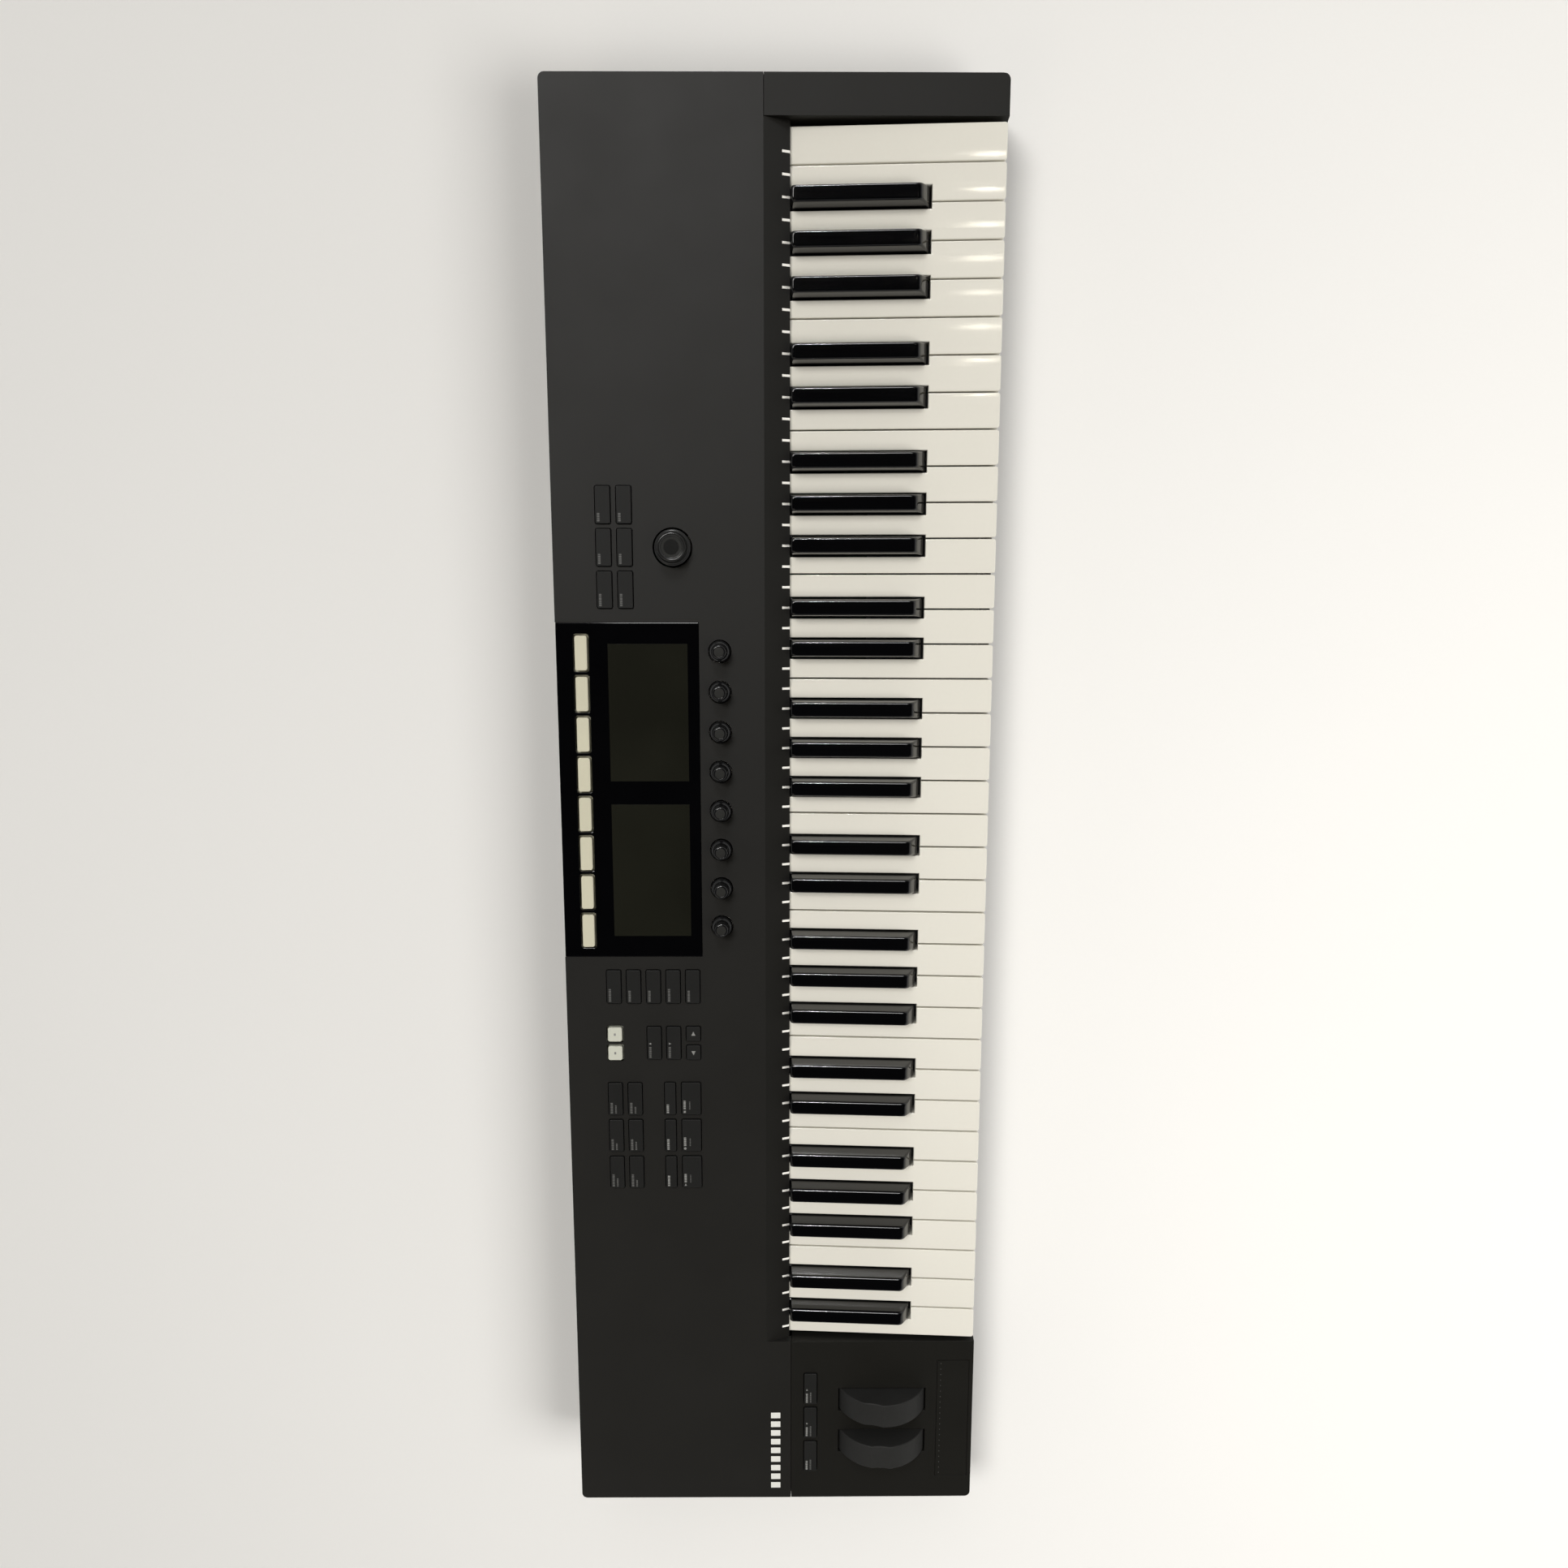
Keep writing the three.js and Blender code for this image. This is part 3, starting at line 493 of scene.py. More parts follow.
def make(name, bm, materials, body, replaces=(), sharp=40.0):
    """Turns a mesh built in mm into a piece that rides on a body."""
    bmesh.ops.recalc_face_normals(bm, faces=bm.faces)
    bmesh.ops.scale(bm, vec=Vector((MM, MM, MM)), verts=bm.verts)
    mesh = bpy.data.meshes.new(name)
    bm.to_mesh(mesh)
    bm.free()
    for material in materials:
        mesh.materials.append(material)
    mesh.polygons.foreach_set("use_smooth", [True] * len(mesh.polygons))
    mesh.set_sharp_from_angle(angle=math.radians(sharp))
    piece = bpy.data.objects.new(name, mesh)
    bpy.context.scene.collection.objects.link(piece)
    even = piece.modifiers.new("Even shading", "WEIGHTED_NORMAL")
    even.keep_sharp = True
    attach(piece, body)
    if replaces:
        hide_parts(*replaces)


def dress(node, material, edge=0.0):
    """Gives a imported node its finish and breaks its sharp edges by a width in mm."""
    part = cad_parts[node]
    for place in part.material_slots:
        place.material = material
    if edge:
        weld = part.modifiers.new("Joined corners", "WELD")
        weld.merge_threshold = 0.01 * MM
        bevel = part.modifiers.new("Broken edges", "BEVEL")
        bevel.width = edge * MM
        bevel.segments = 2
        bevel.limit_method = "ANGLE"
        bevel.angle_limit = math.radians(50)
        even = part.modifiers.new("Even shading", "WEIGHTED_NORMAL")
        even.keep_sharp = True


# ---- Sizes and colours that a user would change ----
def colour(name, description, code):
    return FloatVectorProperty(
        name=name,
        description=description,
        subtype="COLOR",
        size=4,
        min=0.0,
        max=1.0,
        default=linear(code),
    )


def length(name, description, default):
    return FloatProperty(name=name, description=description, default=default * MM, min=0.0, unit="LENGTH")


def number(name, description, default):
    return IntProperty(name=name, description=description, default=default, min=2)


def power(name, default, description="Watts per square metre"):
    return FloatProperty(name=name, description=description, default=default, min=0.0)


class KeyboardColours(bpy.types.PropertyGroup):
    """Colours of the finishes."""

    case: colour("Case", "Grained plastic of the tray", "#131312")
    panel: colour("Panel", "Soft paint of the top panel", "#151411")
    end_block: colour("End blocks", "Soft paint of the two end blocks", "#12110d")
    wheel: colour("Wheels", "Satin plastic of the two wheels", "#2a2a29")
    knob: colour("Knob sides", "Polished plastic of the knobs", "#101011")
    knob_top: colour("Knob tops", "Etched plastic of the knob tops", "#272725")
    encoder: colour("Encoder", "Satin plastic of the encoder cap", "#1c1c1b")
    natural: colour("Naturals", "Ivory plastic of the naturals", "#e7e4d9")
    sharp: colour("Sharps", "Black plastic of the sharps", "#050506")
    window: colour("Window", "Black-backed acrylic window", "#040405")
    screen: colour("Screens", "Unlit displays", "#1b1b15")
    light_guide: colour("Light guide", "Frosted acrylic over the keys", "#fdfbf4")
    button: colour("Dark caps", "Coated silicone of the dark buttons", "#1e1e1d")
    pale_button: colour("Soft buttons", "Coated silicone of the buttons over the displays", "#cfcbb4")
    white_button: colour("White caps", "Coated silicone of the mute and solo buttons", "#cbccbe")
    print_grey: colour("Grey print", "Small marks on the caps", "#868683")
    print_dim: colour("Dim print", "Thin small marks on the caps", "#555553")
    print_white: colour("White print", "Mark on the panel", "#e4e4de")
    paper: colour("Floor", "Studio paper", "#f4f3f0")


class KeyboardSizes(bpy.types.PropertyGroup):
    """Sizes of the details."""

    natural_edge: length("Natural edge", "Rounding of the naturals' upper edges", 0.7)
    natural_crown: length("Natural crown", "Fall of a natural's top from its middle to its sides", 0.3)
    natural_corner: length("Natural corner", "Rounding of the naturals' front corners", 1.7)
    sharp_base: length("Sharp base", "Width of a sharp at its foot", 12.7)
    sharp_notch: length("Sharp notch", "Width of the notch in the naturals for a sharp", 14.5)
    cap_corner: length("Cap corner", "Rounding of the dark caps' corners", 0.9)
    pale_corner: length("Pale cap corner", "Rounding of the pale caps' corners", 1.4)
    pale_gap: length("Pale cap gap", "Black gap round the pale caps, over the dark ones'", 0.6)
    cap_edge: length("Cap edge", "Rounding of the caps' upper edges", 0.35)
    case_edge: length("Case edge", "Width of the case's broken edges", 0.5)
    wheel_rim: length("Wheel rim", "Rounding of the wheels' rims", 0.9)
    notch_depth: length("Wheel notch depth", "Depth of the finger notch", 1.35)
    notch_radius: length("Wheel notch radius", "Radius of the finger notch", 30.0)
    strip_lights: number("Strip lights", "Lights beside the touch strip", 21)
    screws: number("Screws", "Screws in each long row of the underside", 5)


class KeyboardStage(bpy.types.PropertyGroup):
    """Camera, lamps and floor."""

    camera_place: FloatVectorProperty(
        name="Camera place",
        description="Where the camera stands",
        subtype="TRANSLATION",
        unit="LENGTH",
        default=(0.17609, -0.04948, 0.84244),
    )
    camera_aim: FloatVectorProperty(
        name="Camera aim",
        description="A point on the keyboard that the camera looks at",
        subtype="TRANSLATION",
        unit="LENGTH",
        default=(0.04976, -0.00554, 0.06),
    )
    camera_roll: FloatProperty(
        name="Camera roll",
        description="Turn of the picture's upright from the keyboard's treble direction",
        subtype="ANGLE",
        default=0.0,
    )
    lens: FloatProperty(name="Lens", description="Focal length in mm", default=26.085, min=1.0)
    key_power: power("Treble light", 1.4)
    bass_power: power("Bass light", 0.12)
    edge_power: power("End light", 0.3)
    rim_power: power("Rim light", 0.9)
    spot_power: power("Spots", 0.012)
    fill_power: power("Player light", 21.0, "Watts")
    sky: power("Room light", 0.75, "Brightness of the pale room")


def sizes():
    return bpy.context.scene.keyboard_sizes


# ---- Operators ----
class KEYBOARD_OT_stage(bpy.types.Operator):
    """Sets up the pale floor, the room, the lamps and the camera."""

    bl_idname = "keyboard.stage"
    bl_label = "Stage"

    def execute(self, context):
        stage = context.scene.keyboard_stage
        self.floor()
        self.room(context.scene, stage)
        self.sun("treble_light", (0.9, 0.65, 1.95), 20.0, stage.key_power, "#fffdfa")
        self.sun("bass_light", (-1.5, 0.9, 1.7), 26.0, stage.bass_power, "#fff2e2")
        self.sun("end_light", (1.6, 0.1, 1.3), 40.0, stage.edge_power, "#fffdfa")
        self.rim_lamp("rim_light", (1.6, 0.1, 1.3), 16.0, stage.rim_power, "#ffffff")
        # Two small bright lamps, whose reflections run along the polished keys.
        self.sun("ceiling_spot", (0.218, -0.086, 0.782), 1.3, stage.spot_power, "#fff8e4")
        self.rim_lamp("treble_spot", (0.77, 0.028, 0.64), 1.3, stage.spot_power * 25, "#ffffff")
        self.soft_box("player_light", (-0.35, -1.1, 1.6), 1.0, stage.fill_power, "#fffdfa")
        self.camera(context.scene, stage)
        return {"FINISHED"}

    def floor(self):
        bm = bmesh.new()
        bmesh.ops.create_grid(bm, x_segments=FLOOR_PARTS, y_segments=FLOOR_PARTS, size=FLOOR_REACH * MM)
        mesh = bpy.data.meshes.new("studio_floor")
        bm.to_mesh(mesh)
        bm.free()
        mesh.materials.append(studio_paper_matt())
        floor = bpy.data.objects.new("studio_floor", mesh)
        bpy.context.scene.collection.objects.link(floor)
        # Soft light from under the floor reaches the underside.
        floor.visible_diffuse = False

    def room(self, scene, stage):
        scene.view_settings.view_transform = "Standard"
        world = bpy.data.worlds.new("studio_room")
        scene.world = world
        world.use_nodes = True
        tree = world.node_tree
        tree.nodes.clear()
        # Pale walls round a dark ceiling, so that the window stays black from above.
        up = add(tree, "SeparateXYZ", {"Vector": add(tree, "TexCoord").outputs["Generated"]})
        tones = add(tree, "ValToRGB", {"Fac": up.outputs["Z"]})
        tones.color_ramp.elements[0].position = 0.1
        tones.color_ramp.elements[0].color = linear("#f6f6f4")
        tones.color_ramp.elements[1].position = 0.6
        tones.color_ramp.elements[1].color = linear("#1c1c1e")
        back = add(tree, "Background", {"Color": tones.outputs[0], "Strength": stage.sky})
        add(tree, "OutputWorld", {"Surface": back.outputs[0]})

    def hang(self, light, place, power, tint):
        light.energy = power
        light.color = linear(tint)[:3]
        lamp = bpy.data.objects.new(light.name, light)
        lamp.location = place
        lamp.rotation_euler = Vector(place).to_track_quat("Z", "Y").to_euler()
        bpy.context.scene.collection.objects.link(lamp)
        return lamp

    def sun(self, name, place, spread, power, tint):
        """A far light that shines evenly from a direction, with its apparent width in degrees."""
        light = bpy.data.lights.new(name, "SUN")
        light.angle = math.radians(spread)
        return self.hang(light, place, power, tint)

    def rim_lamp(self, name, place, spread, power, tint):
        """A far light that only shows as a shine along edges."""
        self.sun(name, place, spread, power, tint).visible_diffuse = False

    def soft_box(self, name, place, size, power, tint):
        """A near square light that fills shadows and leaves no reflection of its own."""
        light = bpy.data.lights.new(name, "AREA")
        light.size = size
        self.hang(light, place, power, tint).visible_glossy = False

    def camera(self, scene, stage):
        """A view from above, with the keyboard's treble end at the top of the frame."""
        data = bpy.data.cameras.new("view")
        data.lens = stage.lens
        data.sensor_width = 36.0
        data.clip_start = 0.01
        camera = bpy.data.objects.new("view", data)
        place = Vector(stage.camera_place)
        back = (place - Vector(stage.camera_aim)).normalized()
        up = (Vector((1, 0, 0)) - back * back.x).normalized()
        right = up.cross(back)
        axes = Matrix((right, up, back)).transposed().to_4x4()
        roll = Matrix.Rotation(stage.camera_roll, 4, back)
        camera.matrix_world = Matrix.Translation(place) @ roll @ axes
        scene.collection.objects.link(camera)
        scene.camera = camera


class KEYBOARD_OT_case(bpy.types.Operator):
    """Finishes the tray, the keybed, the boards, the brackets and the feet."""

    bl_idname = "keyboard.case"
    bl_label = "Case"

    def execute(self, context):
        edge = sizes().case_edge / MM
        dress("bottom_case", case_abs_grained(), edge)
        dress("keybed_chassis", keybed_steel_galvanised())
        dress("wheel_bracket", keybed_steel_galvanised())
        for board in ("key_contact_board", "main_board"):
            dress(board, board_solder_masked())
        for part in ("encoder_stem", "encoder_carrier", "encoder_gimbal"):
            dress(part, case_abs_grained())
        for foot in ("foot_front_left", "foot_front_right", "foot_rear_left", "foot_rear_right"):
            self.foot(foot)
        return {"FINISHED"}

    def foot(self, node):
        low, high = box_mm(node)
        r, mid = (high.x - low.x) / 2, (low + high) / 2
        # A shallow round hollow in the tread, and a rounded lower rim.
        profile = [
            (0.8, 0.5), (r * 0.55, 0.5), (r * 0.62, 0.0), (r - 1.6, 0.0),
            (r - 0.7, 0.3), (r - 0.1, 1.2), (r - 0.1, high.z),
        ]
        bm = bmesh.new()
        turned(bm, profile, LEVEL, mid.x, mid.y)
        make(node + "_pad", bm, [foot_rubber_moulded()], "case", [node])


class KEYBOARD_OT_panels(bpy.types.Operator):
    """Finishes the top panel and the two end blocks."""

    bl_idname = "keyboard.panels"
    bl_label = "Panels"

    def execute(self, context):
        edge = sizes().case_edge / MM
        dress("top_panel", panel_soft_paint(), edge * 0.6)
        dress("wheel_panel", block_soft_paint(), edge * 0.4)
        dress("right_end_block", block_soft_paint(), edge)
        return {"FINISHED"}


class KeyLayout:
    """Where the keys stand, from the top C and the first two octaves."""

    def __init__(self):
        low, high = box_mm("key_top_c")
        second = box_mm("keys_2_cegb")[0].x
        first = box_mm("keys_1_cegb")[0].x
        sharps = box_mm("keys_1_sharps")
        self.octave = second - first
        self.pitch = self.octave / 7
        self.half_step = self.octave / 12
        self.gap = self.pitch - (high.x - low.x)
        self.start = first - self.gap / 2
        self.front, self.top, self.lip = low.y, high.z, low.z
        self.web_rear = high.y
        self.rear = high.y - KEY_REAR_GAP
        self.under = sharps[0].z
        self.sharp_front, self.sharp_top = sharps[0].y, sharps[1].z
        self.notch_y = self.sharp_front - NOTCH_AHEAD

    def octave_x(self, number):
        return self.start + number * self.octave

    def sharp_x(self, number, step):
        return self.octave_x(number) + (step + 0.5) * self.half_step

    def web(self, bm, level, spans, x0, x1):
        z = self.under + WEB_RISE[level]
        block(bm, x0, x1, self.web_rear - WEB_DEEP, self.web_rear, z, z + WEB_THICK)
        for left, right in spans:
            block(bm, left + 1, right - 1, self.rear - 1, self.web_rear - WEB_DEEP + 1, z, z + WEB_THICK)


class KEYBOARD_OT_naturals(bpy.types.Operator):
    """Builds the naturals with rounded edges, front lips and notches for the sharps."""

    bl_idname = "keyboard.naturals"
    bl_label = "Naturals"

    # Strips across the crowned top; in mm, how deep the crown reaches, and the front lip's depth and edge.
    STRIPS = 10
    CROWN_DEEP = 3.0
    LIP_DEEP = 4.0
    LIP_EDGE = 0.5

    def execute(self, context):
        keys = KeyLayout()
        for number in range(OCTAVES):
            for letters, level in (("CEGB", "cegb"), ("DFA", "dfa")):
                self.comb(keys, f"keys_{number + 1}_{level}", letters, level, number)
        bm = bmesh.new()
        spans = [self.key(bm, keys, "C", OCTAVES, alone=True)]
        keys.web(bm, "cegb", spans, *spans[0])
        make("key_top_c_ivory", bm, [natural_abs_polished()], "key_top_c", ["key_top_c"])
        return {"FINISHED"}

    def comb(self, keys, node, letters, level, number):
        bm = bmesh.new()
        spans = [self.key(bm, keys, letter, number) for letter in letters]
        x = keys.octave_x(number)
        keys.web(bm, level, spans, x + keys.gap / 2, x + keys.octave - keys.gap / 2)
        make(node + "_ivory", bm, [natural_abs_polished()], node, [node])

    def key(self, bm, keys, letter, number, alone=False):
        size = sizes()
        place = "CDEFGAB".index(letter)
        left = keys.octave_x(number) + place * keys.pitch + keys.gap / 2
        right = left + keys.pitch - keys.gap
        sides = "" if alone else SHARP_SIDES[letter]
        reach = size.sharp_notch / MM / 2
        step = STEPS[letter]
        neck_left = keys.sharp_x(number, step - 1) + reach if "L" in sides else left
        neck_right = keys.sharp_x(number, step + 1) - reach if "R" in sides else right
        corner = size.natural_corner / MM
        front = rounded(left, right, keys.front, keys.notch_y, corner, CORNER_STEPS)
        front = front[-CORNER_STEPS - 1 :] + front[: CORNER_STEPS + 1]
        outline = list(front)
        if neck_right < right:
            outline += [Vector((right, keys.notch_y)), Vector((neck_right, keys.notch_y))]
        outline += [Vector((neck_right, keys.rear)), Vector((neck_left, keys.rear))]
        if neck_left > left:
            outline += [Vector((neck_left, keys.notch_y)), Vector((left, keys.notch_y))]
        self.crowned(bm, keys, outline, left, right)
        lip_rear = keys.front + self.LIP_DEEP
        lip = front + [Vector((right, lip_rear)), Vector((left, lip_rear))]
        edge = self.LIP_EDGE
        rings = [(shrunk(lip, edge), keys.lip), (lip, keys.lip + edge), (lip, keys.under)]
        loft(bm, [[p.to_3d() + Vector((0, 0, z)) for p in ring] for ring, z in rings])
        return neck_left, neck_right

    def crowned(self, bm, keys, outline, left, right):
        """A key's upper body, cut into strips along its length that fall away towards its sides."""
        size = sizes()
        one = bmesh.new()
        softened(one, outline, LEVEL, keys.under, keys.top, size.natural_edge / MM, CORNER_STEPS)
        mid, half = (left + right) / 2, (right - left) / 2
        for k in range(1, self.STRIPS):
            bmesh.ops.bisect_plane(
                one,
                geom=[*one.verts, *one.edges, *one.faces],
                plane_co=(left + (right - left) * k / self.STRIPS, 0, 0),
                plane_no=(1, 0, 0),
            )
        for corner in one.verts:
            if corner.co.z > keys.top - self.CROWN_DEEP:
                corner.co.z -= size.natural_crown / MM * ((corner.co.x - mid) / half) ** 2
        mesh = bpy.data.meshes.new("natural")
        one.to_mesh(mesh)
        one.free()
        bm.from_mesh(mesh)
        bpy.data.meshes.remove(mesh)


class KEYBOARD_OT_sharps(bpy.types.Operator):
    """Builds the sharps: tapered, rounded along the top and sloped at the front."""

    bl_idname = "keyboard.sharps"
    bl_label = "Sharps"

    LONG = 88.6
    # In mm: half width lost, front moved back, rear moved in, corner radius, height under the top.
    LEVELS = (
        (0.0, 0.0, 0.0, 0.8, 13.4),
        (0.05, 0.5, 0.0, 1.0, 11.0),
        (1.0, 4.1, 0.1, 1.6, 3.0),
        (1.25, 5.0, 0.2, 2.0, 1.5),
        (1.55, 5.8, 0.6, 2.2, 0.75),
        (2.05, 6.7, 1.1, 2.2, 0.25),
        (2.75, 7.8, 1.8, 1.9, 0.0),
    )

    def execute(self, context):
        keys = KeyLayout()
        for number in range(OCTAVES):
            bm = bmesh.new()
            half = sizes().sharp_base / MM / 2
            spans = []
            for step in SHARP_STEPS:
                x = keys.sharp_x(number, step)
                self.key(bm, keys, x, half)
                spans.append((x - half, x + half))
            start = keys.octave_x(number)
            keys.web(bm, "sharps", spans, start + keys.gap / 2, start + keys.octave - keys.gap / 2)
            node = f"keys_{number + 1}_sharps"
            make(node + "_ebony", bm, [sharp_abs_polished()], node, [node], sharp=50.0)
        return {"FINISHED"}

    def key(self, bm, keys, x, half):
        front, top = keys.sharp_front, keys.sharp_top
        rear = front + self.LONG
        foot = (*self.LEVELS[0][:4], top - keys.under)
        rings = []
        for lost, back, rim, corner, under in (foot, *self.LEVELS):
            left, right = x - half + lost, x + half - lost
            outline = rounded(left, right, front + back, rear - rim, corner, CORNER_STEPS)
            rings.append([p.to_3d() + Vector((0, 0, top - under)) for p in outline])
        loft(bm, rings)
        block(bm, x - half, x + half, rear - 1, keys.rear, keys.under, keys.top - 0.4)


class KEYBOARD_OT_wheels(bpy.types.Operator):
    """Builds the two wheels with rounded rims and a finger notch each."""

    bl_idname = "keyboard.wheels"
    bl_label = "Wheels"

    # Radius of the axle and length of its stubs, in mm, and each notch's turn from the top, in degrees.
    AXLE = 3.0
    STUB = 4.2
    NOTCHES = {"pitch_wheel": 0.0, "mod_wheel": 9.0}

    def execute(self, context):
        for node, notch in self.NOTCHES.items():
            self.wheel(node, notch)
        return {"FINISHED"}

    def wheel(self, node, notch):
        size = sizes()
        low, high = box_mm(node)
        x = (low.x + high.x) / 2
        half = (high.x - low.x) / 2 - self.STUB
        r = (high.y - low.y) / 2
        y, z = (low.y + high.y) / 2, low.z + r
        rim, dip, bow = size.wheel_rim / MM, size.notch_depth / MM, size.notch_radius / MM
        # The notch is an arc of radius bow, centred at reach from the axle and cut into the tread up to edge.
        reach = r - dip + bow
        edge = math.acos((r * r + reach * reach - bow * bow) / (2 * r * reach))
        turns = [math.radians(a) for a in range(18, 342, 4)]
        turns += [edge * k / 8 for k in range(-12, 13)]
        quarter = [math.radians(90 * k / 6) for k in range(7)]
        tread = [(-half + rim * (1 - math.cos(a)), -rim * (1 - math.sin(a))) for a in quarter]
        tread += [(-across, out) for across, out in reversed(tread)]
        rings = []
        for turn in sorted(turns, key=lambda t: t % (2 * math.pi)):
            off = (turn + math.pi) % (2 * math.pi) - math.pi
            reached = r
            if abs(off) < edge:
                reached = reach * math.cos(off) - math.sqrt(bow * bow - (reach * math.sin(off)) ** 2)
            a = turn + math.radians(notch)
            section = [(across, reached + out) for across, out in tread]
            section = [(-half, self.AXLE), *section, (half, self.AXLE)]
            side, up = math.sin(a), math.cos(a)
            rings.append([Vector((x + across, y + far * side, z + far * up)) for across, far in section])
        bm = bmesh.new()
        loft(bm, rings, closed=True)
        around = [math.radians(15 * i) for i in range(24)]
        rim_points = [(y + self.AXLE * math.cos(t), z + self.AXLE * math.sin(t)) for t in around]
        loft(bm, [[Vector((end, *p)) for p in rim_points] for end in (low.x, high.x)])
        make(node + "_tread", bm, [wheel_abs_satin()], node, [node], sharp=18.0)


class KEYBOARD_OT_knobs(bpy.types.Operator):
    """Builds the eight endless knobs with polished sides and etched tops."""

    bl_idname = "keyboard.knobs"
    bl_label = "Knobs"

    def execute(self, context):
        for number in range(1, 9):
            self.knob(f"knob_{number}")
        return {"FINISHED"}

    def knob(self, node):
        low, high = box_on(node, PANEL)
        mid, h = (low + high) / 2, high.z
        r = (high.x - low.x) / 2
        bm = bmesh.new()
        # Shank, wide skirt, narrow grip and rolled rim; then the flat top, sunk a little inside the rim.
        side = [
            (3.2, low.z), (3.2, -1.0), (r, -1.0), (r, 1.4), (r - 0.08, 2.2), (r - 0.3, 2.9),
            (r - 0.65, 3.5), (r - 1.1, 3.95), (r - 1.6, 4.3), (r - 1.85, 4.7), (r - 1.95, 5.4),
            (r - 2.0, h - 2.6), (r - 2.1, h - 1.8), (r - 2.3, h - 1.15), (r - 2.6, h - 0.65),
            (r - 3.0, h - 0.25), (r - 3.4, h - 0.05), (r - 3.75, h), (r - 3.95, h - 0.1), (r - 4.0, h - 0.3),
        ]
        turned(bm, side, PANEL, mid.x, mid.y, 64)
        top = [(r - 3.99, h - 0.9), (r - 3.99, h - 0.25), (r - 4.2, h - 0.15), (0.6, h - 0.15)]
        turned(bm, top, PANEL, mid.x, mid.y, 64, 1)
        looks = [knob_abs_polished(), knob_abs_etched()]
        make(node + "_cap", bm, looks, node, [node], sharp=50.0)


class KEYBOARD_OT_encoder(bpy.types.Operator):
    """Builds the encoder's dished cap with its raised ring."""

    bl_idname = "keyboard.encoder"
    bl_label = "Encoder"

    def execute(self, context):
        low, high = box_on("encoder_cap", PANEL)
        mid, h = (low + high) / 2, high.z
        r = (high.x - low.x) / 2
        # Shank, skirt, grip and raised ring; then the dish inside the ring.
        ring = [
            (7.0, low.z), (7.0, -1.2), (r, -1.2), (r, 1.1), (r - 0.25, 1.7), (r - 0.9, 2.05), (r - 1.7, 2.4),
            (r - 2.1, 3.4), (r - 2.25, h - 1.6), (r - 2.5, h - 0.7), (r - 3.0, h - 0.15), (r - 3.5, h),
            (r - 4.0, h - 0.05), (r - 4.4, h - 0.35), (r - 4.8, h - 0.75), (r - 5.2, h - 1.1),
        ]
        dish = [(r - 5.25, h - 2.0), (r - 5.25, h - 1.0), (r - 8.0, h - 1.15), (0.8, h - 1.2)]
        bm = bmesh.new()
        turned(bm, ring, PANEL, mid.x, mid.y, 72)
        turned(bm, dish, PANEL, mid.x, mid.y, 72, 1)
        looks = [encoder_abs_satin(), knob_abs_etched()]
        make("encoder_cap_dished", bm, looks, "encoder_cap", ["encoder_cap"], sharp=50.0)
        return {"FINISHED"}


class KEYBOARD_OT_buttons(bpy.types.Operator):
    """Builds the silicone caps on their mats."""

    bl_idname = "keyboard.buttons"
    bl_label = "Buttons"

    # The mat's thickness under the caps, and how deep the caps stand in it, in mm.
    MAT = 1.2
    SUNK = 0.2

    def execute(self, context):
        size = sizes()
        for node in DARK_MATS:
            self.mat(node, silicone_dark_coated(), "dark_silicone", size.cap_corner / MM, 0.0)
        corner, gap = size.pale_corner / MM, size.pale_gap / MM
        self.mat("soft_buttons", silicone_pale_coated(), "pale_silicone", corner, gap)
        self.mat("mute_solo_buttons", silicone_white_coated(), "pale_silicone", corner, gap)
        return {"FINISHED"}

    def mat(self, node, material, slot, corner, gap):
        slope = slope_for(node)
        low, high = box_on(node, slope)
        bm = bmesh.new()
        for a, b in cap_tops(node, slope):
            outline = rounded(a.x + gap, b.x - gap, a.y + gap, b.y - gap, corner, CORNER_STEPS)
            softened(bm, outline, slope, low.z + self.MAT - self.SUNK, b.z, sizes().cap_edge / MM)
        block(bm, low.x, high.x, low.y, high.y, low.z, low.z + self.MAT, slope)
        make(node + "_caps", bm, [material], node, [node])


